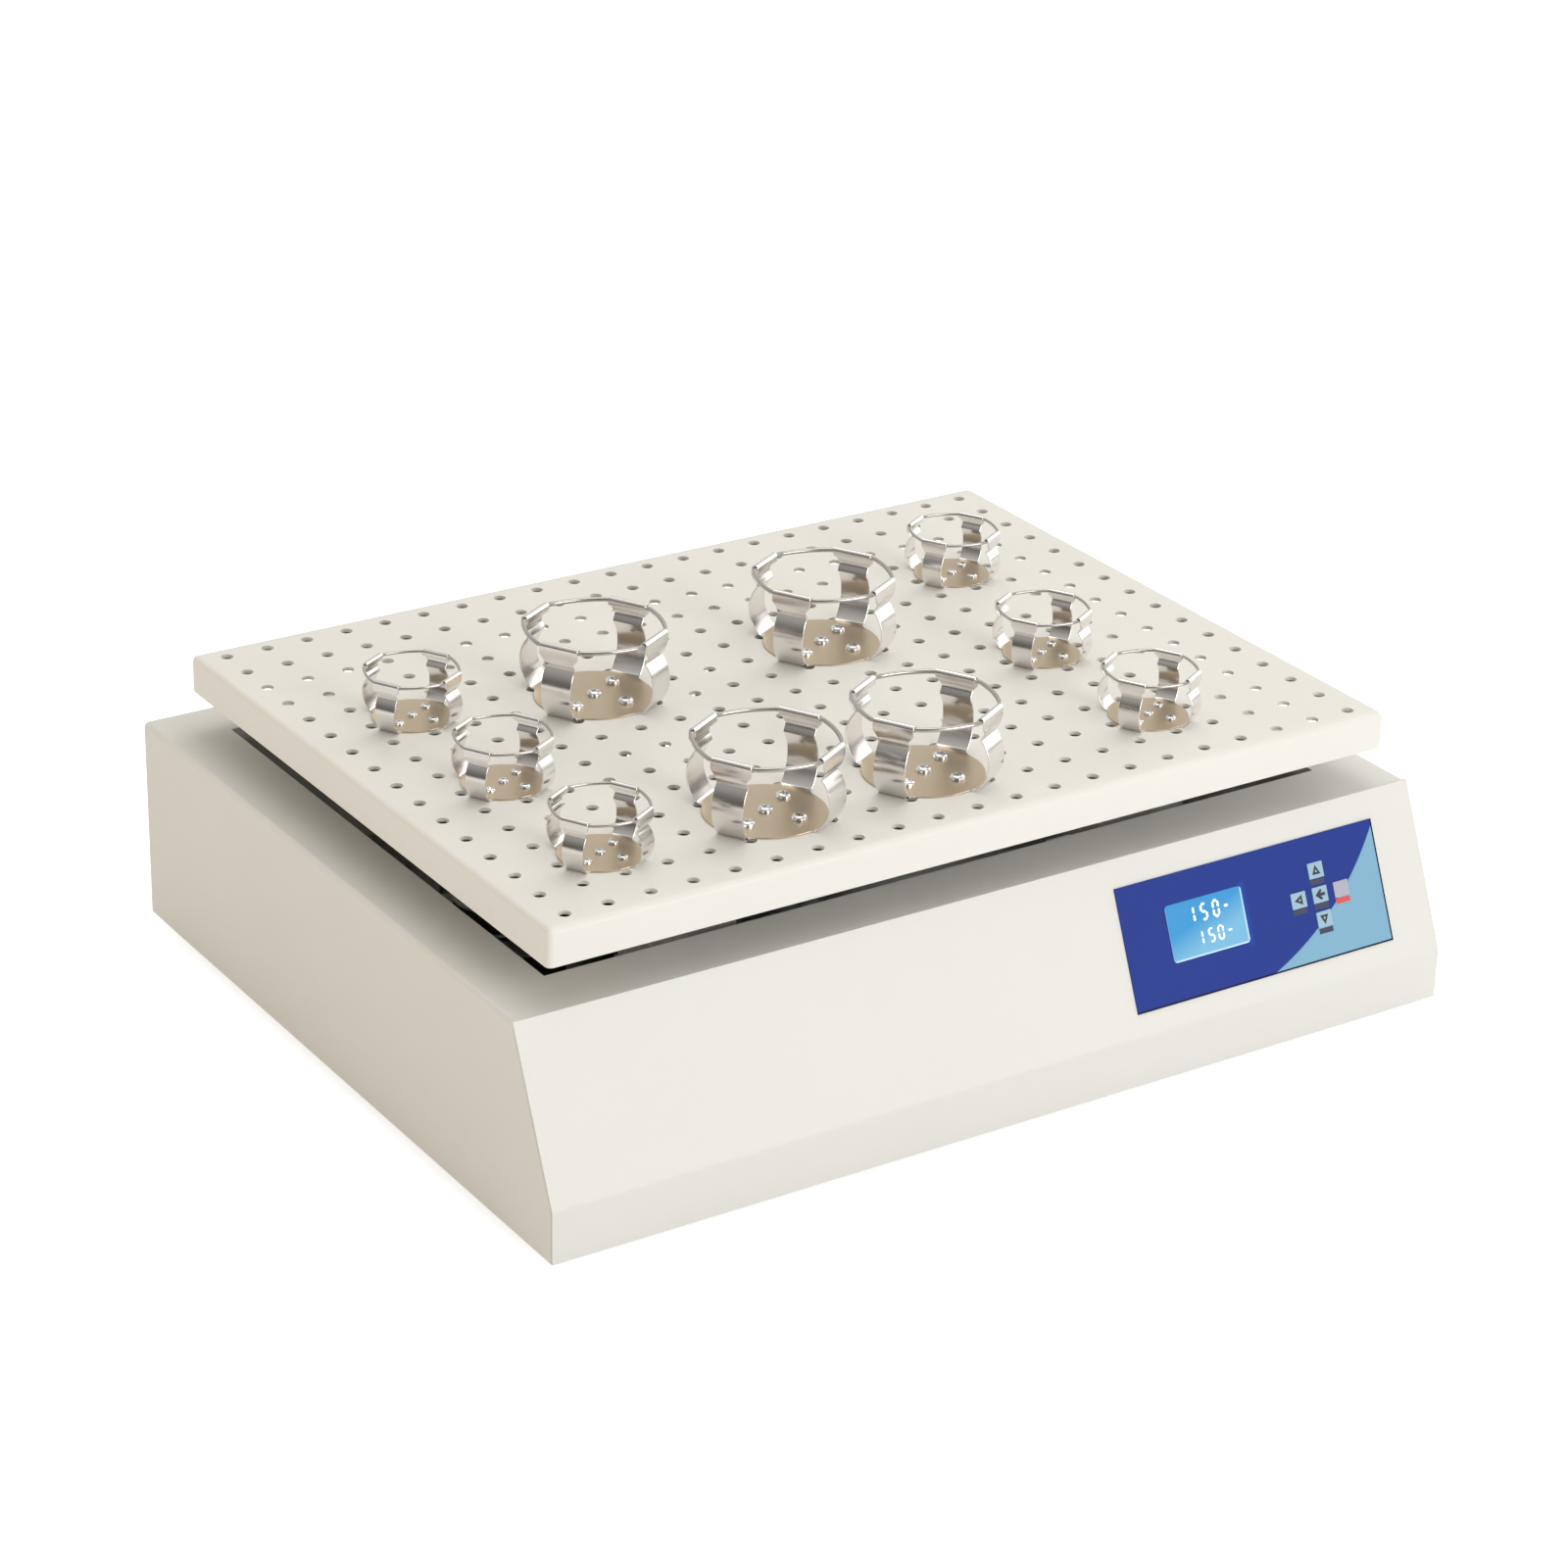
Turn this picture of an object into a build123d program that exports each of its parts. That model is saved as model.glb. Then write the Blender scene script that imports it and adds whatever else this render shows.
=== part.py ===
from build123d import *

import os
from math import atan2, cos, degrees, hypot, radians, sin, sqrt, tan

os.makedirs("parts", exist_ok=True)

# Benchtop orbital shaker, millimetres. X runs along the front, -Y faces the user, Z is up.
# The origin is on the bench under the middle of the shaker.

# Housing
body_width = 688.0
body_depth = 556.0
body_height = 143.0
lip_height = 36.0
slope_run = 46.5
sheet = 1.5
seam = 0.4
fold_radius = 4.0
knee_radius = 6.0
opening_width = 596.0
opening_depth = 424.0
opening_setback = 43.0
opening_flange = 9.0
return_flange = 20.0
front_flange = 12.0
vent_width = 4.0
vent_height = 34.0
vent_pitch = 11.0
vent_count = 10
vent_x = 70.0

# Base
foot_height = 10.0
foot_radius = 18.0
foot_inset = 62.0
pan_sheet = 2.0
pan_flange = 15.0
pan_gap = 0.5
rail_width = 50.0
rail_height = 30.0
rail_wall = 2.5
rail_overhang = 40.0
crossbar_width = 100.0

# Orbit and bearings
orbit_radius = 10.0
idler_x = 170.0
idler_y = 140.0
running_fit = 0.05
running_gap = 0.3
spindle_radius = 12.5
spindle_flange_radius = 25.0
spindle_flange_thickness = 5.0
pin_radius = 10.0
bearing_width = 12.0
bearing_radius = 21.0
spindle_block_size = 90.0
spindle_block_plate = 8.0
spindle_block_height = 36.0
spindle_barrel_radius = 32.0
idler_shaft_radius = 8.5
idler_block_size = 50.0
idler_web_thickness = 12.0
idler_web_radius = 17.0

# Belt drive
motor_x = -215.0
motor_radius = 46.0
motor_length = 60.0
motor_shaft_radius = 7.0
bracket_sheet = 3.0
bracket_width = 118.0
bracket_depth = 104.0
bracket_foot = 22.0
drive_pulley_radius = 75.0
motor_pulley_radius = 25.0
pulley_width = 18.0
pulley_flange = 4.0
pulley_flange_thickness = 2.5
pulley_hub_radius = 22.0
belt_width = 12.0
belt_thickness = 3.0
counterweight_radius = 95.0
counterweight_thickness = 12.0

# Carriage
arm_width = 34.0
arm_height = 20.0
hub_size = 56.0
post_x = 195.0
post_y = 160.0
post_size = 25.0
pad_size = 56.0
pad_thickness = 4.0
tray_rail_width = 20.0
tray_rail_height = 20.0
tray_rail_wall = 2.0
tray_bolt_spread = 20.0
tray_bolt_radius = 3.0

# Tray
tray_width = 640.0
tray_depth = 480.0
tray_sheet = 2.5
tray_rim = 25.5
tray_gap = 29.0
tray_setback = 46.5
tray_fold_radius = 4.0
hole_diameter = 8.5
hole_pitch = 30.0
hole_margin = 15.0

# Flask clamps, at the size of the large ones. They repeat ten times, so their curves are folded
# from a few flats.
clamp_disc_radius = 40.0
clamp_disc_sides = 40
clamp_sheet = 1.0
clamp_turn = 29.6
leg_width = 22.0
leg_neck_width = 36.0
leg_neck_radius = 35.5
leg_foot_radius = 43.5
leg_bulge_radius = 51.0
leg_bulge_height = 17.0
leg_waist_radius = 45.0
leg_waist_height = 36.0
leg_bends = 5
hook_width = 28.5
hook_flare_height = 44.0
hook_lip = 4.5
wire_radius = 1.5
wire_gap = 0.1
wire_ring_apothem = 45.0
wire_ring_height = 50.0
wire_straight = 31.0
wire_bow = 3.0
clamp_screw_radius = 3.0
clamp_screw_head_radius = 5.6
clamp_screw_head_height = 3.2
small_clamp_scale = 0.667
large_clamp_holes = [(6, 9), (12, 9), (6, 2), (10, 2)]
small_clamp_holes = [(2, 10), (2, 6), (2, 2), (17, 11), (16, 6), (16, 2)]

# Control panel, set out along the slanted front
panel_x = 201.0
panel_drop = 60.5
panel_width = 213.0
panel_height = 83.0
overlay_thickness = 0.8
display_x = -39.7
display_y = 2.9
display_width = 62.5
display_height = 38.0
display_corner = 2.5
display_border = 3.5
display_inset = 0.1
display_depth = 8.0
keypad_x = 53.6
keypad_y = 1.6
key_pitch_x = 18.0
key_pitch_y = 16.5
key_width = 12.2
key_height = 10.6
key_gap = 0.15
key_rise = 0.5
key_flange = 0.9
key_flange_thickness = 0.9
key_stem = 5.0
key_stem_depth = 3.0
key_travel = 0.4
board_width = 168.0
board_height = 72.0
board_thickness = 1.6
board_depth = 12.0
board_stud_radius = 3.0
board_stud_inset = 5.0
display_leg = 5.0
switch_size = 6.0
switch_gap = 0.1

# Rear panel
rear_z = 52.0
inlet_x = 262.0
inlet_width = 27.0
inlet_height = 20.0
inlet_depth = 24.0
inlet_flange = 3.0
inlet_wall = 2.5
inlet_corner = 3.0
inlet_contact_pitch = 7.0
inlet_ear = 11.0
rocker_x = 205.0
rocker_frame_width = 15.0
rocker_frame_height = 21.0
rocker_width = 9.4
rocker_height = 14.4
rocker_tilt = 12.0
rocker_standout = 3.4
rocker_bezel = 1.6
rocker_frame_depth = 14.0
rocker_pivot_inset = 2.0
rocker_pivot_radius = 1.2
rocker_gap = 0.3
supply_width = 90.0
supply_depth = 150.0
supply_height = 38.0
supply_x = 285.0
supply_y = 40.0

# Levels and places worked out from the sizes above
rear_standout = rocker_standout + rocker_bezel
front_y = -(body_depth + rear_standout) / 2
back_y = front_y + body_depth
top_front_y = front_y + slope_run
body_bottom = foot_height
body_top = foot_height + body_height
lip_top = foot_height + lip_height
slope_rise = body_top - lip_top
slope_angle = atan2(slope_run, slope_rise)
opening_y = top_front_y + opening_setback + opening_depth / 2

pan_bottom = body_bottom + sheet
pan_top = pan_bottom + pan_sheet
rail_top = pan_top + rail_height

tray_y = front_y + tray_setback + tray_depth / 2
drive_y = tray_y + orbit_radius
rim_bottom = body_top + tray_gap
tray_top = rim_bottom + tray_rim
tray_under = tray_top - tray_sheet

spindle_block_top = rail_top + spindle_block_height
pulley_bottom = spindle_block_top + 3
pulley_top = pulley_bottom + pulley_width
counterweight_top = pulley_top + counterweight_thickness
hub_bottom = counterweight_top + spindle_flange_thickness + 1
hub_top = hub_bottom + arm_height
pin_top = hub_top - 1
collar_top = hub_bottom - running_gap
collar_radius = pin_radius + 3
idler_web_top = hub_bottom - 4
idler_web_bottom = idler_web_top - idler_web_thickness
idler_block_top = idler_web_bottom - 3
belt_bottom = pulley_bottom + (pulley_width - belt_width) / 2
pad_bottom = tray_under - tray_rail_height - pad_thickness

hole_columns = int((tray_width - 2 * hole_margin) / hole_pitch + 0.001) + 1
hole_rows = int((tray_depth - 2 * hole_margin) / hole_pitch + 0.001) + 1
first_hole_x = -(hole_columns - 1) / 2 * hole_pitch
first_hole_y = tray_y - (hole_rows - 1) / 2 * hole_pitch

idler_places = [(x, drive_y + y) for y in (-idler_y, idler_y) for x in (-idler_x, idler_x)]
hub_places = [(x, tray_y + y) for y in (-idler_y, idler_y) for x in (-idler_x, idler_x)]
post_places = [(x, tray_y + y) for y in (-post_y, post_y) for x in (-post_x, post_x)]


def front_at(z, inset):
    # Y of the slanted front at height z, measured inset behind its outer face
    return front_y + slope_run * (z - lip_top) / slope_rise + inset / cos(slope_angle)


def knee_at(inset):
    # height at which the slanted front meets the upright lip, inset behind both
    return lip_top - (inset / cos(slope_angle) - inset) * slope_rise / slope_run


def save(builder, name):
    builder.part.label = name
    export_step(builder.part, f"parts/{name}.step")


# Housing cover: top, sides and back folded from one sheet, open at the front and below
with BuildPart() as housing_inside:
    with BuildSketch(Plane.XY.offset(body_bottom)):
        with Locations((0, (back_y + front_y) / 2 - sheet)):
            Rectangle(body_width - 2 * sheet, body_depth)
    extrude(amount=body_height - sheet)
    inner_top = housing_inside.faces().sort_by(Axis.Z)[-1].edges()
    inner_back = housing_inside.faces().sort_by(Axis.Y)[-1].edges()
    fillet(inner_top.sort_by(Axis.Y)[1:] + inner_back.filter_by(Axis.Z), radius=fold_radius - sheet)

with BuildPart() as housing_cover:
    cover_inset = sheet + seam
    with BuildSketch(Plane.YZ):
        with BuildLine():
            Polyline(
                (back_y, body_bottom),
                (back_y, body_top),
                (front_at(body_top, cover_inset), body_top),
                (front_y + cover_inset, knee_at(cover_inset)),
                (front_y + cover_inset, body_bottom),
                close=True,
            )
        make_face()
    extrude(amount=body_width / 2, both=True)
    outer_top = housing_cover.faces().sort_by(Axis.Z)[-1].edges()
    outer_back = housing_cover.faces().sort_by(Axis.Y)[-1].edges()
    fillet(outer_top.sort_by(Axis.Y)[1:] + outer_back.filter_by(Axis.Z), radius=fold_radius)
    add(housing_inside.part, mode=Mode.SUBTRACT)
    # flange folded down round the opening
    with BuildSketch(Plane.XY.offset(body_top - opening_flange)):
        with Locations((0, opening_y)):
            Rectangle(opening_width + 2 * sheet, opening_depth + 2 * sheet)
    extrude(amount=opening_flange)
    with BuildSketch(Plane.XY.offset(body_top - opening_flange)):
        with Locations((0, opening_y)):
            Rectangle(opening_width, opening_depth)
    extrude(amount=opening_flange, mode=Mode.SUBTRACT)
    # flange folded in along the bottom of the sides and the back
    flange_front = front_y + cover_inset + return_flange
    flange_back = back_y - sheet
    with BuildSketch(Plane.XY.offset(body_bottom)):
        with Locations((0, (flange_front + flange_back) / 2)):
            Rectangle(body_width - 2 * sheet, flange_back - flange_front)
        with Locations((0, (flange_front + flange_back) / 2 - return_flange)):
            Rectangle(body_width - 2 * return_flange, flange_back - flange_front, mode=Mode.SUBTRACT)
    extrude(amount=sheet)
    # vents, power inlet and switch in the back
    with BuildSketch(Plane.XZ.offset(-back_y)):
        with Locations((vent_x, rear_z + body_bottom)):
            with GridLocations(vent_pitch, vent_height + 8, vent_count, 2):
                Rectangle(vent_width, vent_height)
        with Locations((inlet_x, rear_z)):
            Rectangle(inlet_width, inlet_height)
        with Locations((rocker_x, rear_z)):
            Rectangle(rocker_frame_width - 2, rocker_frame_height - 2)
    extrude(amount=2 * sheet, mode=Mode.SUBTRACT)
save(housing_cover, "housing_cover")

# Slanted front panel with its lip and inner flanges
slope_plane = Plane(
    origin=(
        panel_x,
        top_front_y - panel_drop * sin(slope_angle),
        body_top - panel_drop * cos(slope_angle),
    ),
    x_dir=(1, 0, 0),
    z_dir=(0, -cos(slope_angle), sin(slope_angle)),
)
key_places = {
    "key_up": (keypad_x, keypad_y + key_pitch_y),
    "key_left": (keypad_x - key_pitch_x, keypad_y),
    "key_enter": (keypad_x, keypad_y),
    "key_run": (keypad_x + key_pitch_x, keypad_y),
    "key_down": (keypad_x, keypad_y - key_pitch_y),
}
key_room = 2 * (key_flange + key_gap + 0.3)
stud_x = board_width / 2 - board_stud_inset
stud_y = board_height / 2 - board_stud_inset

with BuildPart() as front_panel:
    with BuildSketch(Plane.YZ):
        with BuildLine():
            Polyline(
                (front_at(body_top, 0), body_top),
                (front_y, lip_top),
                (front_y, body_bottom),
                (front_y + sheet, body_bottom),
                (front_y + sheet, knee_at(sheet)),
                (front_at(body_top, sheet), body_top),
                close=True,
            )
        make_face()
    extrude(amount=body_width / 2, both=True)
    knee = front_panel.edges().filter_by(Axis.X).filter_by_position(Axis.Z, lip_top - 3, lip_top + 3)
    fillet(knee.sort_by(Axis.Y)[0], radius=knee_radius)
    # flanges folded back under the cover's top and over the bench side, between the cover's walls
    top_flange_z = body_top - 1.5 * sheet - 0.1
    top_flange_y = front_at(top_flange_z - sheet / 2, sheet)
    with BuildSketch(Plane.YZ):
        with Locations((top_flange_y, top_flange_z)):
            Rectangle(front_flange, sheet, align=(Align.MIN, Align.CENTER))
        with Locations((front_y + sheet, body_bottom)):
            Rectangle(return_flange, sheet, align=(Align.MIN, Align.MIN))
    extrude(amount=body_width / 2 - fold_radius - seam, both=True)
    # side returns just inside the cover's walls
    return_top = body_top - fold_radius - seam
    return_y = front_at(return_top, sheet)
    for side in (-1, 1):
        with BuildSketch(Plane.YZ.offset(side * (body_width / 2 - 1.5 * sheet - seam))):
            with BuildLine():
                Polyline(
                    (return_y, return_top),
                    (front_y + sheet, knee_at(sheet)),
                    (front_y + sheet, body_bottom + sheet),
                    (front_y + sheet + front_flange, body_bottom + sheet),
                    (front_y + sheet + front_flange, knee_at(sheet)),
                    (return_y + front_flange, return_top),
                    close=True,
                )
            make_face()
        extrude(amount=sheet / 2, both=True)
    # cut-outs for the display and the keys
    with BuildSketch(slope_plane):
        with Locations((display_x, display_y)):
            Rectangle(
                display_width + 2 * (display_border + display_inset),
                display_height + 2 * (display_border + display_inset),
            )
        with Locations(*key_places.values()):
            Rectangle(key_width + key_room, key_height + key_room)
    extrude(amount=-2 * sheet, mode=Mode.SUBTRACT)
    # hexagonal studs that carry the control board
    with BuildSketch(slope_plane.offset(-board_depth)):
        with GridLocations(2 * stud_x, 2 * stud_y, 2, 2):
            RegularPolygon(board_stud_radius, side_count=6)
    extrude(amount=board_depth - sheet)
save(front_panel, "front_panel")

# Base pan with upturned edges, lying on the housing's folded-in flanges
with BuildPart() as base_pan:
    pan_width = body_width - 2 * (sheet + pan_gap)
    pan_front = front_y + 2 * sheet + front_flange + pan_gap
    pan_back = back_y - sheet - pan_gap
    pan_depth = pan_back - pan_front
    pan_y = (pan_front + pan_back) / 2
    with BuildSketch(Plane.XY.offset(pan_bottom)):
        with Locations((0, pan_y)):
            Rectangle(pan_width, pan_depth)
    extrude(amount=pan_flange)
    fillet(base_pan.edges().filter_by(Axis.Z), radius=fold_radius)
    with BuildSketch(Plane.XY.offset(pan_top)):
        with Locations((0, pan_y)):
            Rectangle(pan_width - 2 * pan_sheet, pan_depth - 2 * pan_sheet)
    extrude(amount=pan_flange, mode=Mode.SUBTRACT)
save(base_pan, "base_pan")

# Rubber feet under the pan
foot_spread_x = body_width - 2 * foot_inset
foot_spread_y = body_depth - 2 * foot_inset
with BuildPart() as rubber_feet:
    with BuildSketch():
        with Locations((0, (front_y + back_y) / 2)):
            with GridLocations(foot_spread_x, foot_spread_y, 2, 2):
                Circle(foot_radius)
    extrude(amount=pan_bottom, taper=8)
save(rubber_feet, "rubber_feet")

# Screws that hold the pan to the housing's flanges
with BuildPart() as cover_screws:
    screw_spread_x = body_width - return_flange - sheet
    with BuildSketch(Plane.XY.offset(body_bottom - 2)):
        with Locations((0, (front_y + back_y) / 2)):
            with GridLocations(screw_spread_x, body_depth / 3, 2, 3):
                RegularPolygon(4, side_count=6)
    extrude(amount=2)
save(cover_screws, "cover_screws")

# Welded tubes on the pan: front and rear rails under the idlers, a crossbar under the spindle
with BuildPart() as base_frame:
    rail_length = 2 * (idler_x + rail_overhang)
    for y in (drive_y - idler_y, drive_y + idler_y):
        with BuildSketch(Plane.YZ):
            with Locations((y, pan_top + rail_height / 2)):
                Rectangle(rail_width, rail_height)
                Rectangle(rail_width - 2 * rail_wall, rail_height - 2 * rail_wall, mode=Mode.SUBTRACT)
        extrude(amount=rail_length / 2, both=True)
    with BuildSketch(Plane.XZ.offset(-drive_y)):
        with Locations((0, pan_top + rail_height / 2)):
            Rectangle(crossbar_width, rail_height)
            Rectangle(crossbar_width - 2 * rail_wall, rail_height - 2 * rail_wall, mode=Mode.SUBTRACT)
    extrude(amount=idler_y - rail_width / 2, both=True)
save(base_frame, "base_frame")

# Spindle housing: a square plate bolted to the crossbar, with a turned barrel and a through bore
with BuildPart() as spindle_housing:
    with BuildSketch(Plane.XY.offset(rail_top)):
        with Locations((0, drive_y)):
            Rectangle(spindle_block_size, spindle_block_size)
    extrude(amount=spindle_block_plate)
    with BuildSketch(Plane.XY.offset(rail_top + spindle_block_plate)):
        with Locations((0, drive_y)):
            Circle(spindle_barrel_radius)
    extrude(amount=spindle_block_height - spindle_block_plate)
    with BuildSketch(Plane.XY.offset(rail_top)):
        with Locations((0, drive_y)):
            Circle(bearing_radius)
    extrude(amount=spindle_block_height, mode=Mode.SUBTRACT)
save(spindle_housing, "spindle_housing")

# Two bearings in the spindle housing, one at each end of its bore
with BuildPart() as spindle_bearings:
    for z in (rail_top + 2, spindle_block_top - bearing_width):
        with BuildSketch(Plane.XY.offset(z)):
            with Locations((0, drive_y)):
                Circle(bearing_radius)
                Circle(spindle_radius + running_fit, mode=Mode.SUBTRACT)
        extrude(amount=bearing_width)
save(spindle_bearings, "spindle_bearings")

# Four idler housings: blocks on the rails, each with its bearing bore
with BuildPart() as idler_housings:
    with BuildSketch(Plane.XY.offset(rail_top)):
        with Locations(*idler_places):
            Rectangle(idler_block_size, idler_block_size)
    extrude(amount=idler_block_top - rail_top)
    fillet(idler_housings.edges().filter_by(Axis.Z), radius=3)
    with BuildSketch(Plane.XY.offset(idler_block_top)):
        with Locations(*idler_places):
            Circle(idler_shaft_radius + running_fit)
    extrude(amount=-(idler_block_top - rail_top), mode=Mode.SUBTRACT)
save(idler_housings, "idler_housings")

# Spindle: shaft, flange, shoulder and the eccentric pin, which points to the front at rest
with BuildPart() as eccentric_spindle:
    with BuildSketch(Plane.XY.offset(rail_top + 1)):
        with Locations((0, drive_y)):
            Circle(spindle_radius)
    extrude(amount=counterweight_top - rail_top - 1)
    with BuildSketch(Plane.XY.offset(counterweight_top)):
        with Locations((0, drive_y)):
            Circle(spindle_flange_radius)
    extrude(amount=spindle_flange_thickness)
    with BuildSketch(Plane.XY.offset(counterweight_top)):
        with Locations((0, drive_y - orbit_radius)):
            Circle(collar_radius)
    extrude(amount=collar_top - counterweight_top)
    with BuildSketch(Plane.XY.offset(collar_top)):
        with Locations((0, drive_y - orbit_radius)):
            Circle(pin_radius)
    extrude(amount=pin_top - collar_top)
save(eccentric_spindle, "eccentric_spindle")

# Four idler cranks: shaft, rounded web, shoulder and pin, parallel to the spindle's own pin
for number, (x, y) in enumerate(idler_places, 1):
    with BuildPart() as idler_crank:
        with BuildSketch(Plane.XY.offset(rail_top + 1)):
            with Locations((x, y)):
                Circle(idler_shaft_radius)
        extrude(amount=idler_web_top - rail_top - 1)
        with BuildSketch(Plane.XY.offset(idler_web_bottom)):
            with Locations((x, y - orbit_radius / 2)):
                SlotCenterToCenter(orbit_radius, 2 * idler_web_radius, rotation=90)
        extrude(amount=idler_web_thickness)
        with BuildSketch(Plane.XY.offset(idler_web_top)):
            with Locations((x, y - orbit_radius)):
                Circle(collar_radius)
        extrude(amount=collar_top - idler_web_top)
        with BuildSketch(Plane.XY.offset(collar_top)):
            with Locations((x, y - orbit_radius)):
                Circle(pin_radius)
        extrude(amount=pin_top - collar_top)
    save(idler_crank, f"idler_crank_{number}")


def pulley_outline(seat_radius, hub_radius):
    # half section of a flanged pulley, from its hub's wall out to the rim
    rim = seat_radius + pulley_flange
    lower = pulley_bottom + pulley_flange_thickness
    upper = pulley_top - pulley_flange_thickness
    return [
        (hub_radius, pulley_bottom),
        (rim, pulley_bottom),
        (rim, lower - 1),
        (seat_radius, lower),
        (seat_radius, upper),
        (rim, upper + 1),
        (rim, pulley_top),
        (hub_radius, pulley_top),
    ]


# Drive pulley on the spindle, recessed on its upper face between hub and rim
with BuildPart() as drive_pulley:
    with BuildSketch(Plane(origin=(0, drive_y, 0), x_dir=(1, 0, 0), z_dir=(0, -1, 0))):
        with BuildLine():
            Polyline(*pulley_outline(drive_pulley_radius, spindle_radius), close=True)
        make_face()
    revolve(axis=Axis((0, drive_y, 0), (0, 0, 1)))
    with BuildSketch(Plane.XY.offset(pulley_bottom)):
        with Locations((0, drive_y)):
            Circle(drive_pulley_radius - 8)
            Circle(pulley_hub_radius, mode=Mode.SUBTRACT)
    extrude(amount=pulley_width / 2, mode=Mode.SUBTRACT)
save(drive_pulley, "drive_pulley")

# Motor pulley with the motor's shaft
with BuildPart() as motor_pulley:
    with BuildSketch(Plane(origin=(motor_x, drive_y, 0), x_dir=(1, 0, 0), z_dir=(0, -1, 0))):
        with BuildLine():
            Polyline(*pulley_outline(motor_pulley_radius, 0), close=True)
        make_face()
    revolve(axis=Axis((motor_x, drive_y, 0), (0, 0, 1)))
    with BuildSketch(Plane.XY.offset(pulley_bottom)):
        with Locations((motor_x, drive_y)):
            Circle(motor_shaft_radius)
    extrude(amount=-motor_length / 2)
save(motor_pulley, "motor_pulley")

# Flat belt round both pulleys
with BuildPart() as drive_belt:
    for grow, mode in ((running_gap + belt_thickness, Mode.ADD), (running_gap, Mode.SUBTRACT)):
        with BuildSketch(Plane.XY.offset(belt_bottom)):
            with Locations((0, drive_y)):
                Circle(drive_pulley_radius + grow)
            with Locations((motor_x, drive_y)):
                Circle(motor_pulley_radius + grow)
            make_hull()
        extrude(amount=belt_width, mode=mode)
save(drive_belt, "drive_belt")

# Counterweight: a half disc on the spindle, opposite the eccentric pin
with BuildPart() as counterweight:
    with BuildSketch(Plane.XY.offset(pulley_top)):
        with Locations((0, drive_y)):
            Circle(counterweight_radius)
            Rectangle(
                2 * counterweight_radius,
                counterweight_radius,
                align=(Align.CENTER, Align.MAX),
                mode=Mode.SUBTRACT,
            )
            Circle(pulley_hub_radius)
            Circle(spindle_radius, mode=Mode.SUBTRACT)
    extrude(amount=counterweight_thickness)
save(counterweight, "counterweight")

# Motor with a boss through its bracket
motor_top = pulley_bottom - 2 - bracket_sheet
with BuildPart() as motor:
    with BuildSketch(Plane.XY.offset(motor_top - motor_length)):
        with Locations((motor_x, drive_y)):
            Circle(motor_radius)
    extrude(amount=motor_length)
    chamfer(motor.edges().filter_by(GeomType.CIRCLE), length=3)
    with BuildSketch(Plane.XY.offset(motor_top)):
        with Locations((motor_x, drive_y)):
            Circle(2 * motor_shaft_radius)
    extrude(amount=bracket_sheet)
    with BuildSketch(Plane.XY.offset(motor_top + bracket_sheet)):
        with Locations((motor_x, drive_y)):
            Circle(motor_shaft_radius + running_fit)
    extrude(amount=-(motor_length / 2 + bracket_sheet), mode=Mode.SUBTRACT)
save(motor, "motor")

# Motor bracket: one folded sheet, top plate, two legs and two feet on the pan
with BuildPart() as motor_bracket:
    with BuildSketch(Plane.XZ.offset(-drive_y)):
        with BuildLine():
            Polyline(
                (motor_x - bracket_width / 2 - bracket_foot, pan_top),
                (motor_x - bracket_width / 2, pan_top),
                (motor_x - bracket_width / 2, motor_top),
                (motor_x + bracket_width / 2, motor_top),
                (motor_x + bracket_width / 2, pan_top),
                (motor_x + bracket_width / 2 + bracket_foot, pan_top),
            )
            offset(amount=bracket_sheet, side=Side.LEFT, kind=Kind.INTERSECTION)
        make_face()
    extrude(amount=bracket_depth / 2, both=True)
    with BuildSketch(Plane.XY.offset(motor_top)):
        with Locations((motor_x, drive_y)):
            Circle(2 * motor_shaft_radius)
    extrude(amount=bracket_sheet, mode=Mode.SUBTRACT)
save(motor_bracket, "motor_bracket")

# Carriage: crossed arms with a bearing hub at each pin and four posts up to the tray
with BuildPart() as carriage_frame:
    arm_length = 2 * hypot(post_x, post_y) + post_size
    with BuildSketch(Plane.XY.offset(hub_bottom)):
        with Locations((0, tray_y)):
            for turn in (-1, 1):
                Rectangle(arm_length, arm_width, rotation=turn * degrees(atan2(post_y, post_x)))
            Rectangle(hub_size, hub_size)
        with Locations(*hub_places):
            Rectangle(hub_size, hub_size)
    extrude(amount=arm_height)
    with BuildSketch(Plane.XY.offset(hub_top)):
        with Locations(*post_places):
            Rectangle(post_size, post_size)
    extrude(amount=pad_bottom - hub_top)
    with BuildSketch(Plane.XY.offset(pad_bottom)):
        with Locations(*post_places):
            Rectangle(pad_size, pad_size)
    extrude(amount=pad_thickness)
    with BuildSketch(Plane.XY.offset(hub_bottom)):
        with Locations(*hub_places):
            Circle(pin_radius + running_fit)
        with Locations((0, tray_y)):
            Circle(bearing_radius)
    extrude(amount=arm_height, mode=Mode.SUBTRACT)
    with BuildSketch(Plane.XY.offset(pad_bottom)):
        with Locations(*post_places):
            with GridLocations(0, 2 * tray_bolt_spread, 1, 2):
                RegularPolygon(tray_bolt_radius, side_count=6)
    extrude(amount=pad_thickness, mode=Mode.SUBTRACT)
save(carriage_frame, "carriage_frame")

# Bearing between the spindle's pin and the carriage
with BuildPart() as carriage_bearing:
    with BuildSketch(Plane.XY.offset(hub_bottom)):
        with Locations((0, tray_y)):
            Circle(bearing_radius)
            Circle(pin_radius + running_fit, mode=Mode.SUBTRACT)
    extrude(amount=bearing_width)
save(carriage_bearing, "carriage_bearing")

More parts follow.
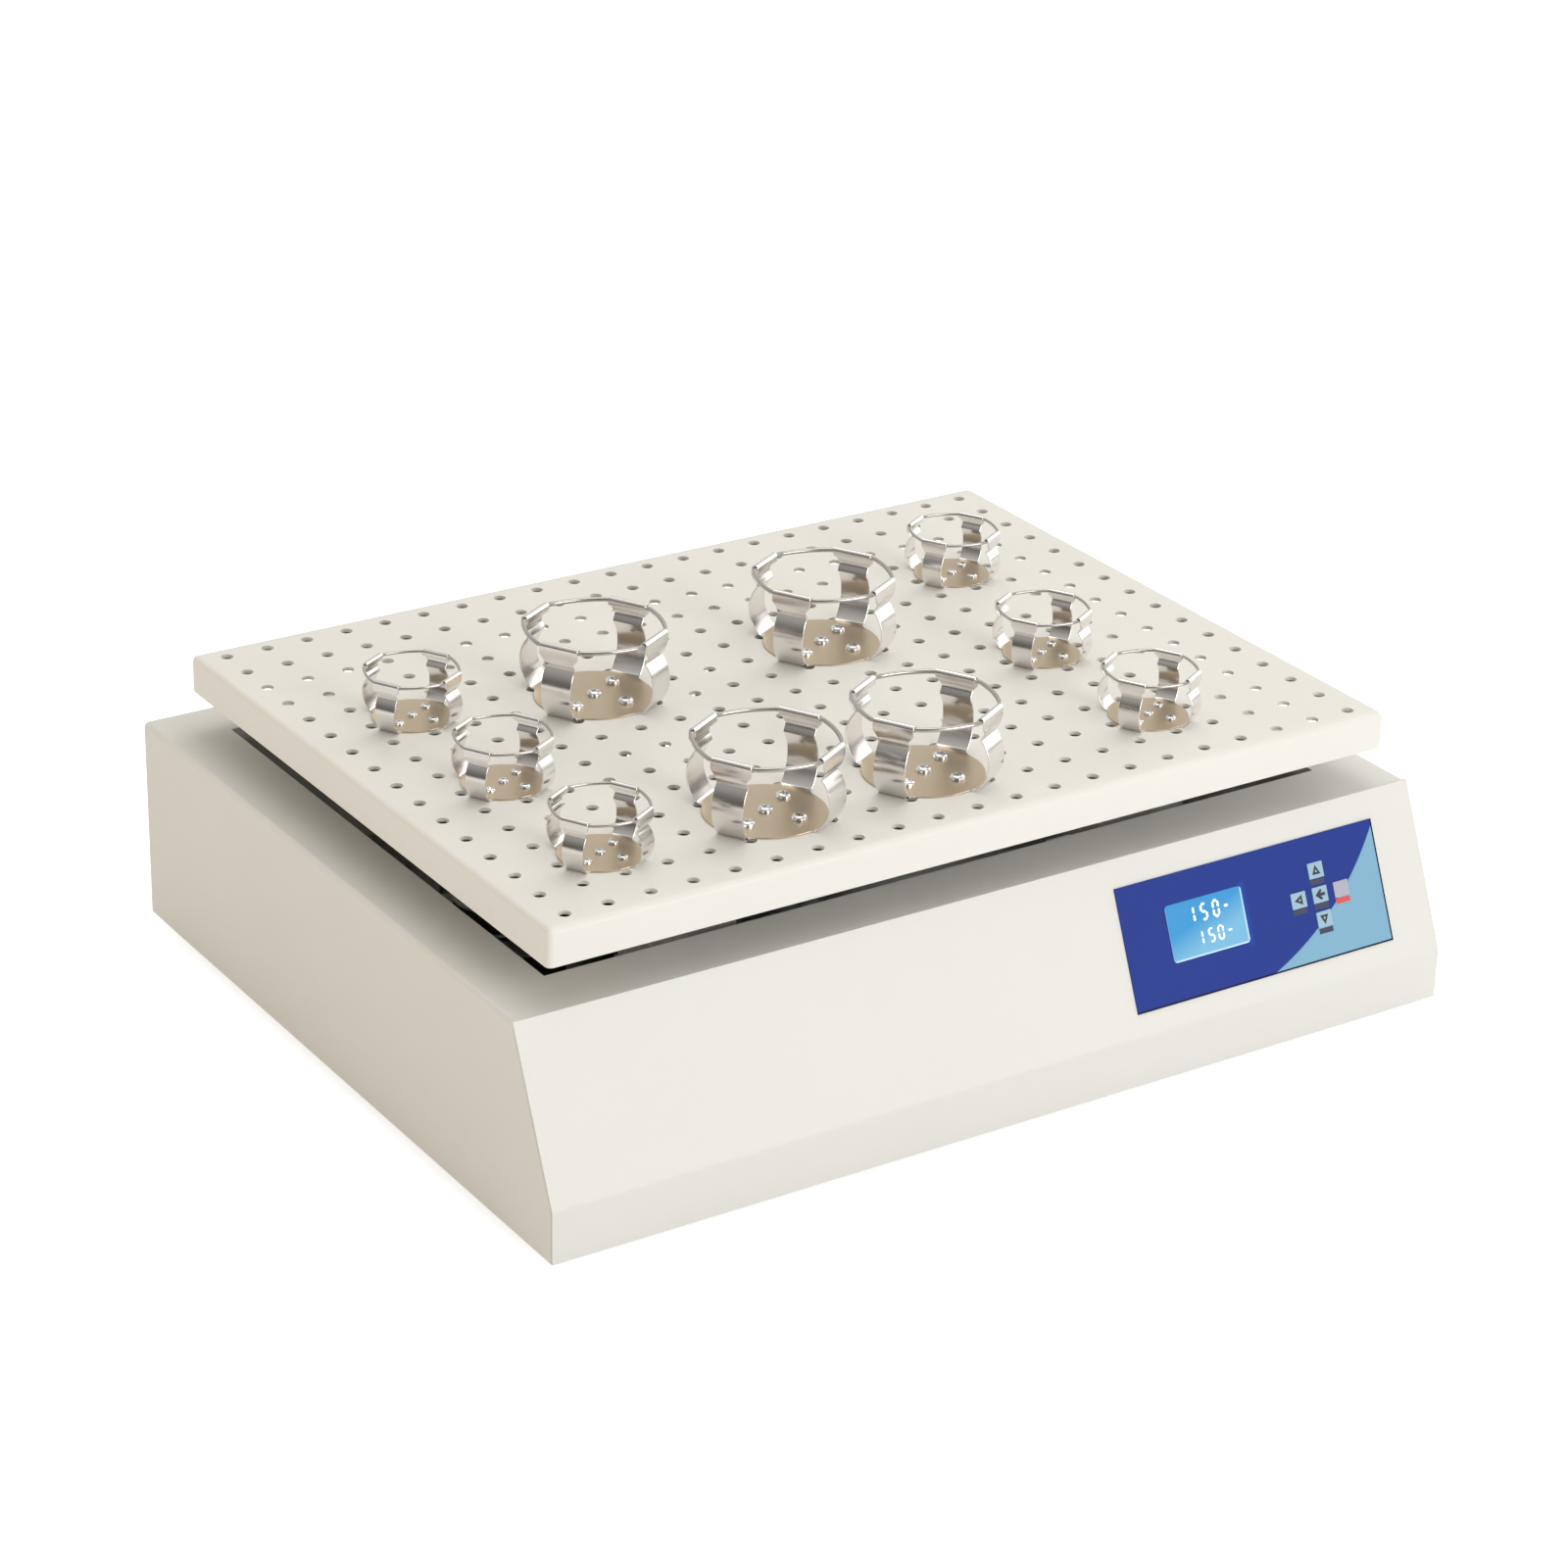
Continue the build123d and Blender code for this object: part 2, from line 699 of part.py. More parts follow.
# Two square tubes under the tray
tray_rail_length = tray_depth - 2 * tray_sheet - 8
with BuildPart() as tray_rails:
    for x in (-post_x, post_x):
        with BuildSketch(Plane.XZ.offset(-tray_y)):
            with Locations((x, tray_under - tray_rail_height / 2)):
                Rectangle(tray_rail_width, tray_rail_height)
                Rectangle(
                    tray_rail_width - 2 * tray_rail_wall,
                    tray_rail_height - 2 * tray_rail_wall,
                    mode=Mode.SUBTRACT,
                )
        extrude(amount=tray_rail_length / 2, both=True)
    with BuildSketch(Plane.XY.offset(tray_under - tray_rail_height)):
        with Locations(*post_places):
            with GridLocations(0, 2 * tray_bolt_spread, 1, 2):
                RegularPolygon(tray_bolt_radius, side_count=6)
    extrude(amount=tray_rail_wall, mode=Mode.SUBTRACT)
save(tray_rails, "tray_rails")

# Bolts up through the pads into the tubes
with BuildPart() as tray_bolts:
    for depth, height, radius in ((4, 4, 5.5), (0, pad_thickness + tray_rail_wall + 4, tray_bolt_radius)):
        with BuildSketch(Plane.XY.offset(pad_bottom - depth)):
            with Locations(*post_places):
                with GridLocations(0, 2 * tray_bolt_spread, 1, 2):
                    RegularPolygon(radius, side_count=6)
        extrude(amount=height)
save(tray_bolts, "tray_bolts")

# Tray: perforated sheet with its edges folded down
corner_holes = [
    (x, first_hole_y + y)
    for y in (0, (hole_rows - 1) * hole_pitch)
    for x in (first_hole_x, -first_hole_x)
]
with BuildPart() as tray:
    with BuildSketch(Plane.XY.offset(rim_bottom)):
        with Locations((0, tray_y)):
            Rectangle(tray_width, tray_depth)
    extrude(amount=tray_rim)
    tray_folds = tray.faces().sort_by(Axis.Z)[-1].edges() + tray.edges().filter_by(Axis.Z)
    fillet(tray_folds, radius=tray_fold_radius)
    with BuildSketch(Plane.XY.offset(rim_bottom)):
        with Locations((0, tray_y)):
            RectangleRounded(
                tray_width - 2 * tray_sheet,
                tray_depth - 2 * tray_sheet,
                tray_fold_radius - tray_sheet,
            )
    extrude(amount=tray_rim - tray_sheet, mode=Mode.SUBTRACT)
    # the fixing holes at the corners are round, the rest of the grid is cut as hexagons
    with BuildSketch(Plane.XY.offset(tray_under)):
        with Locations((0, tray_y)):
            with GridLocations(hole_pitch, hole_pitch, hole_columns, hole_rows):
                RegularPolygon(hole_diameter / 2, side_count=6)
        with Locations(*corner_holes):
            Circle(hole_diameter / 2)
    extrude(amount=tray_sheet, mode=Mode.SUBTRACT)
save(tray, "tray")


def clamp_at(scale):
    # where the ring's wire lies in the hooks, and the hooks' outer and inner faces round it
    wire = wire_radius * scale
    reach = wire + wire_gap + clamp_sheet
    return wire_ring_apothem * scale, wire_ring_height * scale, wire, reach


def make_clamp(scale):
    # one spring clamp standing on the origin, with its legs along X and Y
    ring, ring_z, wire, reach = clamp_at(scale)
    neck_end = leg_foot_radius * scale - clamp_sheet / 2
    with BuildPart() as leg:
        with BuildSketch(Plane.XZ):
            with BuildLine():
                foot = (leg_foot_radius * scale, 0)
                bulge = (leg_bulge_radius * scale, leg_bulge_height * scale)
                waist = (leg_waist_radius * scale, leg_waist_height * scale)
                arc = ThreePointArc(foot, bulge, waist, mode=Mode.PRIVATE)
                outside = [arc @ (step / leg_bends) for step in range(leg_bends + 1)]
                inwards = clamp_sheet / arc.radius
                inside = [point + (arc.arc_center - point) * inwards for point in outside]
                flare = hook_flare_height * scale
                Polyline(
                    *outside,
                    (ring + reach, flare),
                    (ring + reach - clamp_sheet, flare),
                    *reversed(inside),
                    close=True,
                )
            make_face()
        extrude(amount=leg_width * scale / 2, both=True)
        # hook: up past the wire, over it and down on its inner side
        with BuildSketch(Plane.XZ):
            with BuildLine():
                Polyline(
                    (ring + reach, hook_flare_height * scale),
                    (ring + reach, ring_z + wire),
                    (ring + wire / 2, ring_z + reach),
                    (ring - wire / 2, ring_z + reach),
                    (ring - reach, ring_z + wire),
                    (ring - reach, ring_z + wire - hook_lip * scale),
                )
                offset(amount=clamp_sheet, side=Side.LEFT, kind=Kind.INTERSECTION)
            make_face()
        extrude(amount=hook_width * scale / 2, both=True)
    with BuildPart() as clamp:
        with BuildSketch():
            RegularPolygon(clamp_disc_radius * scale, side_count=clamp_disc_sides)
            with PolarLocations(0, 4):
                Polygon(
                    (leg_neck_radius * scale, -leg_neck_width * scale / 2),
                    (neck_end, -leg_width * scale / 2),
                    (neck_end, leg_width * scale / 2),
                    (leg_neck_radius * scale, leg_neck_width * scale / 2),
                    align=None,
                )
            # the hole lines up with the screw's shank, which doesn't turn with the clamp
            RegularPolygon(
                clamp_screw_radius * scale, side_count=6, rotation=-clamp_turn, mode=Mode.SUBTRACT
            )
        extrude(amount=clamp_sheet)
        with PolarLocations(0, 4):
            add(leg.part)
    return clamp.part


def make_ring(scale):
    # the wire ring, straight in the four hooks and bowed outwards between them
    ring, ring_z, wire, reach = clamp_at(scale)
    half = wire_straight * scale / 2
    middle = (ring + half) / 2 + wire_bow * scale / sqrt(2)
    corner = [(ring, half), (middle, middle), (half, ring)]
    corner += [(-y, x) for x, y in corner]
    corner += [(-x, -y) for x, y in corner]
    with BuildPart() as wire_ring:
        with BuildLine():
            Polyline((ring, 0, ring_z), *[(x, y, ring_z) for x, y in corner], close=True)
        with BuildSketch(Plane(origin=(ring, 0, ring_z), x_dir=(1, 0, 0), z_dir=(0, 1, 0))):
            RegularPolygon(wire, side_count=6)
        sweep(transition=Transition.RIGHT)
    return wire_ring.part


# Flask clamps and their wire rings, four large and six small
clamp_places = []
for size, scale, holes in (("large", 1.0, large_clamp_holes), ("small", small_clamp_scale, small_clamp_holes)):
    clamp_master = make_clamp(scale)
    ring_master = make_ring(scale)
    for number, (column, row) in enumerate(holes, 1):
        x = first_hole_x + column * hole_pitch
        y = first_hole_y + row * hole_pitch
        clamp_places.append((x, y, scale))
        with BuildPart() as clamp:
            with Locations(Location((x, y, tray_top), (0, 0, clamp_turn))):
                add(clamp_master)
        save(clamp, f"{size}_clamp_{number}")
        with BuildPart() as clamp_ring:
            with Locations(Location((x, y, tray_top), (0, 0, clamp_turn))):
                add(ring_master)
        save(clamp_ring, f"{size}_ring_{number}")

# A screw and nut through the middle of each clamp and a tray hole
with BuildPart() as clamp_screws:
    for x, y, scale in clamp_places:
        nut = clamp_screw_head_height * scale
        head_bottom = tray_top + clamp_sheet
        shank_length = nut + tray_sheet + clamp_sheet
        for bottom, height, radius in (
            (tray_under - nut, nut, clamp_screw_head_radius),
            (tray_under - nut, shank_length, clamp_screw_radius),
            (head_bottom, clamp_screw_head_height * scale, clamp_screw_head_radius),
        ):
            with BuildSketch(Plane.XY.offset(bottom)):
                with Locations((x, y)):
                    RegularPolygon(radius * scale, side_count=6)
            extrude(amount=height)
save(clamp_screws, "clamp_screws")

# Control overlay on the slanted front, cut out for the display and the keys
with BuildPart() as control_overlay:
    with BuildSketch(slope_plane):
        Rectangle(panel_width, panel_height)
        with Locations((display_x, display_y)):
            RectangleRounded(display_width, display_height, display_corner, mode=Mode.SUBTRACT)
        with Locations(*key_places.values()):
            Rectangle(key_width + 2 * key_gap, key_height + 2 * key_gap, mode=Mode.SUBTRACT)
    extrude(amount=overlay_thickness)
save(control_overlay, "control_overlay")

# Clear window over the display
with BuildPart() as display_window:
    with BuildSketch(slope_plane):
        with Locations((display_x, display_y)):
            RectangleRounded(
                display_width - 2 * display_inset,
                display_height - 2 * display_inset,
                display_corner - display_inset,
            )
    extrude(amount=overlay_thickness - display_inset)
save(display_window, "display_window")

# Display module behind the window, on four legs to the board
with BuildPart() as lcd_module:
    module_width = display_width + 2 * display_border
    module_height = display_height + 2 * display_border
    with BuildSketch(slope_plane):
        with Locations((display_x, display_y)):
            Rectangle(module_width, module_height)
    extrude(amount=-display_depth)
    with BuildSketch(slope_plane.offset(-board_depth)):
        with Locations((display_x, display_y)):
            with GridLocations(module_width - display_leg, module_height - display_leg, 2, 2):
                Rectangle(display_leg, display_leg)
    extrude(amount=board_depth - display_depth)
save(lcd_module, "lcd_module")

# Control board on the panel's studs, with a switch under each key
with BuildPart() as control_board:
    with BuildSketch(slope_plane.offset(-board_depth)):
        Rectangle(board_width, board_height)
    extrude(amount=-board_thickness)
    with BuildSketch(slope_plane.offset(-board_depth)):
        with Locations(*key_places.values()):
            Rectangle(switch_size, switch_size)
    extrude(amount=board_depth - key_stem_depth - key_travel - switch_gap)
save(control_board, "control_board")

# Keys: cap through the overlay, flange behind it and stem over its switch
for name, place in key_places.items():
    with BuildPart() as key:
        flange_top = -key_gap
        with BuildSketch(slope_plane.offset(flange_top)):
            with Locations(place):
                Rectangle(key_width, key_height)
        extrude(amount=overlay_thickness + key_rise - flange_top)
        with BuildSketch(slope_plane.offset(flange_top)):
            with Locations(place):
                Rectangle(key_width + 2 * key_flange, key_height + 2 * key_flange)
        extrude(amount=-key_flange_thickness)
        with BuildSketch(slope_plane.offset(-key_stem_depth)):
            with Locations(place):
                Rectangle(key_stem, key_stem)
        extrude(amount=key_stem_depth + flange_top)
    save(key, name)

# Power inlet in the back: socket body, flange with two ears and three contacts
rear_plane = Plane(origin=(0, back_y, rear_z), x_dir=(-1, 0, 0), z_dir=(0, 1, 0))
with BuildPart() as power_inlet:
    with BuildSketch(rear_plane):
        with Locations((-inlet_x, 0)):
            RectangleRounded(inlet_width + 2 * inlet_ear, inlet_height + 4, 4)
    extrude(amount=inlet_flange)
    with BuildSketch(rear_plane):
        with Locations((-inlet_x, 0)):
            Rectangle(inlet_width, inlet_height)
    extrude(amount=-inlet_depth)
    # the well, with its two upper corners cut, and the three contacts in it
    with BuildSketch(rear_plane.offset(inlet_flange)):
        with Locations((-inlet_x, 0)):
            half_width = inlet_width / 2 - inlet_wall
            half_height = inlet_height / 2 - inlet_wall
            Polygon(
                (-half_width, -half_height),
                (half_width, -half_height),
                (half_width, half_height - inlet_corner),
                (half_width - inlet_corner, half_height),
                (inlet_corner - half_width, half_height),
                (-half_width, half_height - inlet_corner),
                align=None,
            )
    extrude(amount=-(inlet_flange + inlet_depth - inlet_wall), mode=Mode.SUBTRACT)
    with BuildSketch(rear_plane.offset(-inlet_depth)):
        for across, up in ((-inlet_contact_pitch, -2), (0, 2), (inlet_contact_pitch, -2)):
            with Locations((across - inlet_x, up)):
                Rectangle(2, 4)
    extrude(amount=inlet_depth - 2)
save(power_inlet, "power_inlet")

# Rocker switch: a bezel and body in the back, and the rocker on its pivot pins
pivot_y = back_y - rocker_pivot_inset
tilt = radians(rocker_tilt)
half_rocker = rocker_height / 2
rocker_reach = (rocker_pivot_inset + rear_standout - half_rocker * sin(tilt)) / cos(tilt)
pocket_width = rocker_width + 2 * rocker_gap
pocket_height = 2 * (half_rocker * cos(tilt) + rocker_reach * sin(tilt) + rocker_gap)
with BuildPart() as rocker_frame:
    with BuildSketch(rear_plane):
        with Locations((-rocker_x, 0)):
            Rectangle(rocker_frame_width, rocker_frame_height)
    extrude(amount=rocker_bezel)
    with BuildSketch(rear_plane):
        with Locations((-rocker_x, 0)):
            Rectangle(rocker_frame_width - 2, rocker_frame_height - 2)
    extrude(amount=-rocker_frame_depth)
    with BuildSketch(rear_plane.offset(rocker_bezel)):
        with Locations((-rocker_x, 0)):
            Rectangle(pocket_width, pocket_height)
    extrude(amount=-(rocker_bezel + rocker_frame_depth - 2), mode=Mode.SUBTRACT)
    with BuildSketch(Plane.YZ.offset(rocker_x)):
        with Locations((pivot_y, rear_z)):
            Circle(rocker_pivot_radius + running_fit)
    extrude(amount=pocket_width / 2 + 1 + running_fit, both=True, mode=Mode.SUBTRACT)
save(rocker_frame, "rocker_frame")

with BuildPart() as rocker_switch:
    dip = half_rocker * tan(tilt)
    with BuildSketch(Plane.YZ.offset(rocker_x)):
        with Locations((pivot_y, rear_z)):
            Polygon(
                (rocker_reach, half_rocker),
                (rocker_reach - dip, 0),
                (rocker_reach, -half_rocker),
                (rocker_reach - 4, -half_rocker),
                (-3, -2.5),
                (-3, 2.5),
                (rocker_reach - 4, half_rocker),
                rotation=rocker_tilt,
                align=None,
            )
    extrude(amount=rocker_width / 2, both=True)
    with BuildSketch(Plane.YZ.offset(rocker_x)):
        with Locations((pivot_y, rear_z)):
            Circle(rocker_pivot_radius)
    extrude(amount=pocket_width / 2 + 1, both=True)
save(rocker_switch, "rocker_switch")

# Enclosed power supply on the pan
with BuildPart() as power_supply:
    with BuildSketch(Plane.XY.offset(pan_top)):
        with Locations((supply_x, supply_y)):
            Rectangle(supply_width, supply_depth)
    extrude(amount=supply_height)
    chamfer(power_supply.edges().filter_by(Axis.Z), length=2)
    with BuildSketch(Plane.XY.offset(pan_top + supply_height)):
        with Locations((supply_x, supply_y)):
            with GridLocations(0, 12, 1, 6):
                Rectangle(supply_width - 30, 4)
    extrude(amount=-1.5, mode=Mode.SUBTRACT)
save(power_supply, "power_supply")
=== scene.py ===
import math

import bmesh
import bpy
from mathutils import Matrix, Vector


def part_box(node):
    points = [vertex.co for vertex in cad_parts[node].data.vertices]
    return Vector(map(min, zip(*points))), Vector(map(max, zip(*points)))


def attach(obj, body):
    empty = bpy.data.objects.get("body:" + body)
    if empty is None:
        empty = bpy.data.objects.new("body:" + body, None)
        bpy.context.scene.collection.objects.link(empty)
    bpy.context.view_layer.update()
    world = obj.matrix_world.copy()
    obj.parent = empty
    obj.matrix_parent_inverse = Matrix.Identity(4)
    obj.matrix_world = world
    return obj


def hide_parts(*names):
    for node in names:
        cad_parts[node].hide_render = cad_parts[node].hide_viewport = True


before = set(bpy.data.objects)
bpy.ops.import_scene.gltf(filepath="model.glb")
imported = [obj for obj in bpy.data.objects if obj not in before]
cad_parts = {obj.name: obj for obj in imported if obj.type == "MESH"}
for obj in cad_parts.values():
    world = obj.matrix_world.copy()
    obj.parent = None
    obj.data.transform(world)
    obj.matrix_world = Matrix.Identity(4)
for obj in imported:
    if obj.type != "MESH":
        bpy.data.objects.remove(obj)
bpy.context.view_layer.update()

# Benchtop orbital shaker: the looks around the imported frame.
# Lengths in the dictionaries are millimetres, everything handed to Blender is metres.
mm = 0.001
bpy.ops.object.select_all(action="DESELECT")


# Helpers: pick, move, finish
def activate(piece):
    bpy.ops.object.select_all(action="DESELECT")
    piece.select_set(True)
    bpy.context.view_layer.objects.active = piece


def named(name):
    # the primitive that was just added
    piece = bpy.context.object
    piece.name = name
    piece.data.name = name
    return piece


def pick(piece, kind, test):
    # goes into edit mode with only the wanted vertices, edges or faces selected
    activate(piece)
    bpy.ops.object.mode_set(mode="EDIT")
    bpy.ops.mesh.select_mode(type=kind)
    bpy.ops.mesh.select_all(action="DESELECT")
    work = bmesh.from_edit_mesh(piece.data)
    items = {"VERT": work.verts, "EDGE": work.edges, "FACE": work.faces}[kind]
    for item in items:
        if test(item):
            item.select_set(True)
    work.select_flush_mode()
    bmesh.update_edit_mesh(piece.data)


def leaveEdit():
    bpy.ops.object.mode_set(mode="OBJECT")


def modify(piece, kind, **settings):
    activate(piece)
    modifier = piece.modifiers.new(kind.title(), kind)
    for key, value in settings.items():
        setattr(modifier, key, value)
    bpy.ops.object.modifier_apply(modifier=modifier.name)


def settle(piece):
    activate(piece)
    bpy.ops.object.transform_apply(location=True, rotation=True, scale=True)


def place(piece, matrix):
    piece.matrix_world = matrix
    settle(piece)


def copyOf(master, name, matrix):
    piece = master.copy()
    piece.data = master.data.copy()
    piece.name = name
    piece.data.name = name
    bpy.context.scene.collection.objects.link(piece)
    place(piece, matrix)
    return piece


def joined(pieces, name):
    bpy.ops.object.select_all(action="DESELECT")
    for piece in pieces:
        piece.select_set(True)
    bpy.context.view_layer.objects.active = pieces[0]
    if len(pieces) > 1:
        bpy.ops.object.join()
    return named(name)


def smooth(piece, degrees=35):
    activate(piece)
    bpy.ops.object.shade_smooth_by_angle(angle=math.radians(degrees))


def finishPiece(piece, body, slot, *materials):
    piece.data.materials.clear()
    for material in materials:
        piece.data.materials.append(material)
    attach(piece, body)
    return piece


def centre(node):
    low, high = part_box(node)
    return (low + high) / 2


# Camera at the photograph's angle
camera = {
    "place": (-1.4715, -2.2285, 1.3624),
    "azimuth": -33.41,
    "elevation": 24.67,
    "roll": 1.36,
    "lens": 100.16,
}


def makeCamera():
    turn = math.radians(camera["azimuth"])
    rise = math.radians(camera["elevation"])
    roll = math.radians(camera["roll"])
    back = Vector((math.sin(turn) * math.cos(rise), -math.cos(turn) * math.cos(rise), math.sin(rise)))
    right = Vector((math.cos(turn), math.sin(turn), 0))
    up = back.cross(right)
    across = right * math.cos(roll) + up * math.sin(roll)
    upward = up * math.cos(roll) - right * math.sin(roll)
    bpy.ops.object.camera_add()
    shot = bpy.context.object
    shot.name = "photoCamera"
    turned = Matrix((across, upward, back)).transposed().to_4x4()
    shot.matrix_world = Matrix.Translation(camera["place"]) @ turned
    shot.data.lens = camera["lens"]
    shot.data.sensor_width = 36
    shot.data.clip_end = 50
    bpy.context.scene.camera = shot


makeCamera()
print("camera ready")


# Shader building
def newMaterial(name):
    material = bpy.data.materials.new(name)
    material.use_nodes = True
    tree = material.node_tree
    return material, tree, tree.nodes["Principled BSDF"]


def wire(tree, start, end):
    tree.links.new(start, end)


def addNode(tree, kind, **settings):
    node = tree.nodes.new("ShaderNode" + kind)
    for key, value in settings.items():
        setattr(node, key, value)
    return node


def calc(tree, operation, first, second=None, clamp=False):
    # one Math node, whose inputs are sockets or numbers
    node = addNode(tree, "Math", operation=operation, use_clamp=clamp)
    for socket, value in zip(node.inputs, (first, second)):
        if value is None:
            continue
        if isinstance(value, (int, float)):
            socket.default_value = value
        else:
            wire(tree, value, socket)
    return node.outputs[0]


def mixColour(tree, factor, first, second):
    node = addNode(tree, "Mix", data_type="RGBA")
    for socket, value in ((node.inputs[0], factor), (node.inputs[6], first), (node.inputs[7], second)):
        if isinstance(value, (int, float)):
            socket.default_value = value
        elif isinstance(value, tuple):
            socket.default_value = (*value, 1)
        else:
            wire(tree, value, socket)
    return node.outputs[2]


def newGroup(name, inputs, outputs):
    group = bpy.data.node_groups.new(name, "ShaderNodeTree")
    for label, kind, value in inputs:
        socket = group.interface.new_socket(label, in_out="INPUT", socket_type=kind)
        if value is not None:
            socket.default_value = value
    for label, kind in outputs:
        group.interface.new_socket(label, in_out="OUTPUT", socket_type=kind)
    entry = group.nodes.new("NodeGroupInput")
    leave = group.nodes.new("NodeGroupOutput")
    return group, entry, leave


def useGroup(tree, group, **values):
    node = tree.nodes.new("ShaderNodeGroup")
    node.node_tree = group
    for label, value in values.items():
        node.inputs[label].default_value = value
    return node


def makeUnevenFinish():
    # slow colour drift and a fine skin, in object coordinates
    group, entry, leave = newGroup(
        "unevenFinish",
        [("DriftSize", "NodeSocketFloat", 6.0), ("SkinSize", "NodeSocketFloat", 900.0)],
        [("Drift", "NodeSocketFloat"), ("Skin", "NodeSocketFloat")],
    )
    where = addNode(group, "TexCoord")
    drift = addNode(group, "TexNoise")
    drift.inputs["Detail"].default_value = 4
    skin = addNode(group, "TexNoise")
    skin.inputs["Detail"].default_value = 2
    wire(group, where.outputs["Object"], drift.inputs["Vector"])
    wire(group, where.outputs["Object"], skin.inputs["Vector"])
    wire(group, entry.outputs["DriftSize"], drift.inputs["Scale"])
    wire(group, entry.outputs["SkinSize"], skin.inputs["Scale"])
    wire(group, drift.outputs["Fac"], leave.inputs["Drift"])
    wire(group, skin.outputs["Fac"], leave.inputs["Skin"])
    return group


def makeBrushedLines():
    # fine lines drawn along one axis by stretching the noise
    group, entry, leave = newGroup(
        "brushedLines",
        [("Stretch", "NodeSocketVector", (40.0, 40.0, 1600.0)), ("Size", "NodeSocketFloat", 1.0)],
        [("Lines", "NodeSocketFloat")],
    )
    where = addNode(group, "TexCoord")
    scaled = addNode(group, "VectorMath", operation="MULTIPLY")
    lines = addNode(group, "TexNoise")
    lines.inputs["Detail"].default_value = 3
    wire(group, where.outputs["Object"], scaled.inputs[0])
    wire(group, entry.outputs["Stretch"], scaled.inputs[1])
    wire(group, scaled.outputs[0], lines.inputs["Vector"])
    wire(group, entry.outputs["Size"], lines.inputs["Scale"])
    wire(group, lines.outputs["Fac"], leave.inputs["Lines"])
    return group


unevenFinish = makeUnevenFinish()
brushedLines = makeBrushedLines()


def setBump(tree, shader, height, distance, strength=1.0):
    bump = addNode(tree, "Bump")
    bump.inputs["Distance"].default_value = distance
    bump.inputs["Strength"].default_value = strength
    wire(tree, height, bump.inputs["Height"])
    wire(tree, bump.outputs["Normal"], shader.inputs["Normal"])


def spread(tree, value, low, high):
    # turns a 0 to 1 value into low to high
    node = addNode(tree, "MapRange")
    node.inputs["To Min"].default_value = low
    node.inputs["To Max"].default_value = high
    wire(tree, value, node.inputs["Value"])
    return node.outputs[0]


def paintMaterial(name, light, dark, rough, skinSize=700.0, skinDepth=0.00002, coat=0.0):
    # sprayed finish: slight drift between two close colours and an orange-peel skin
    material, tree, shader = newMaterial(name)
    finish = useGroup(tree, unevenFinish, DriftSize=9.0, SkinSize=skinSize)
    colour = mixColour(tree, finish.outputs["Drift"], dark, light)
    wire(tree, colour, shader.inputs["Base Color"])
    wire(tree, spread(tree, finish.outputs["Skin"], rough - 0.05, rough + 0.06), shader.inputs["Roughness"])
    shader.inputs["Coat Weight"].default_value = coat
    setBump(tree, shader, finish.outputs["Skin"], skinDepth)
    return material


def metalMaterial(name, light, dark, rough, stretch=(60.0, 60.0, 2200.0), depth=0.000008):
    # drawn or rolled metal with fine lines
    material, tree, shader = newMaterial(name)
    brushed = useGroup(tree, brushedLines, Stretch=stretch)
    finish = useGroup(tree, unevenFinish, DriftSize=25.0, SkinSize=1500.0)
    colour = mixColour(tree, finish.outputs["Drift"], dark, light)
    wire(tree, colour, shader.inputs["Base Color"])
    shader.inputs["Metallic"].default_value = 1.0
    sheen = spread(tree, brushed.outputs["Lines"], rough - 0.07, rough + 0.09)
    wire(tree, sheen, shader.inputs["Roughness"])
    setBump(tree, shader, brushed.outputs["Lines"], depth)
    return material


# Panel artwork, in millimetres along the slanted front from the panel's centre
panel = {
    "slopeRun": 46.5,
    "slopeRise": 107.0,
    "sheet": 0.8,
    "width": 213.0,
    "height": 83.0,
    "navy": (0.018, 0.042, 0.27),
    "lightBlue": (0.24, 0.46, 0.62),
    "glow": (0.01, 0.10, 0.55),
    "edge": (0.006, 0.008, 0.03),
    "edgeWidth": 1.2,
    "arcCentre": (-71.4, 160.2),
    "arcRadius": 215.5,
    "arcSoftness": 0.35,
}
slopeAngle = math.atan2(panel["slopeRun"], panel["slopeRise"])
slopeOut = Vector((0, -math.cos(slopeAngle), math.sin(slopeAngle)))
slopeUp = Vector((0, math.sin(slopeAngle), math.cos(slopeAngle)))
panelOrigin = centre("control_overlay") - slopeOut * (panel["sheet"] / 2 * mm)


def onPanel(x, y, out=0.0):
    # a place on the panel: x to the right, y up the slope and out of it, in millimetres
    return panelOrigin + Vector((x * mm, 0, 0)) + slopeUp * (y * mm) + slopeOut * (out * mm)


def panelMatrix(x, y, out=0.0):
    turned = Matrix((Vector((1, 0, 0)), slopeUp, slopeOut)).transposed().to_4x4()
    return Matrix.Translation(onPanel(x, y, out)) @ turned


display = {
    "x": -39.7,
    "y": 2.9,
    "width": 62.5,
    "height": 38.0,
    "rim": 1.6,
    "deep": (0.045, 0.27, 0.56),
    "pale": (0.17, 0.42, 0.62),
    "edge": (0.70, 0.86, 0.95),
    "glow": 0.22,
}


def slopeCoordinates(tree, x, y):
    # distances in millimetres across and up the slope from a point of the panel
    where = addNode(tree, "TexCoord")
    start = onPanel(x, y)
    moved = addNode(tree, "VectorMath", operation="SUBTRACT")
    moved.inputs[1].default_value = start
    wire(tree, where.outputs["Object"], moved.inputs[0])
    found = []
    for direction in (Vector((1, 0, 0)), slopeUp):
        dot = addNode(tree, "VectorMath", operation="DOT_PRODUCT")
        dot.inputs[1].default_value = direction * 1000
        wire(tree, moved.outputs[0], dot.inputs[0])
        found.append(dot.outputs["Value"])
    return found


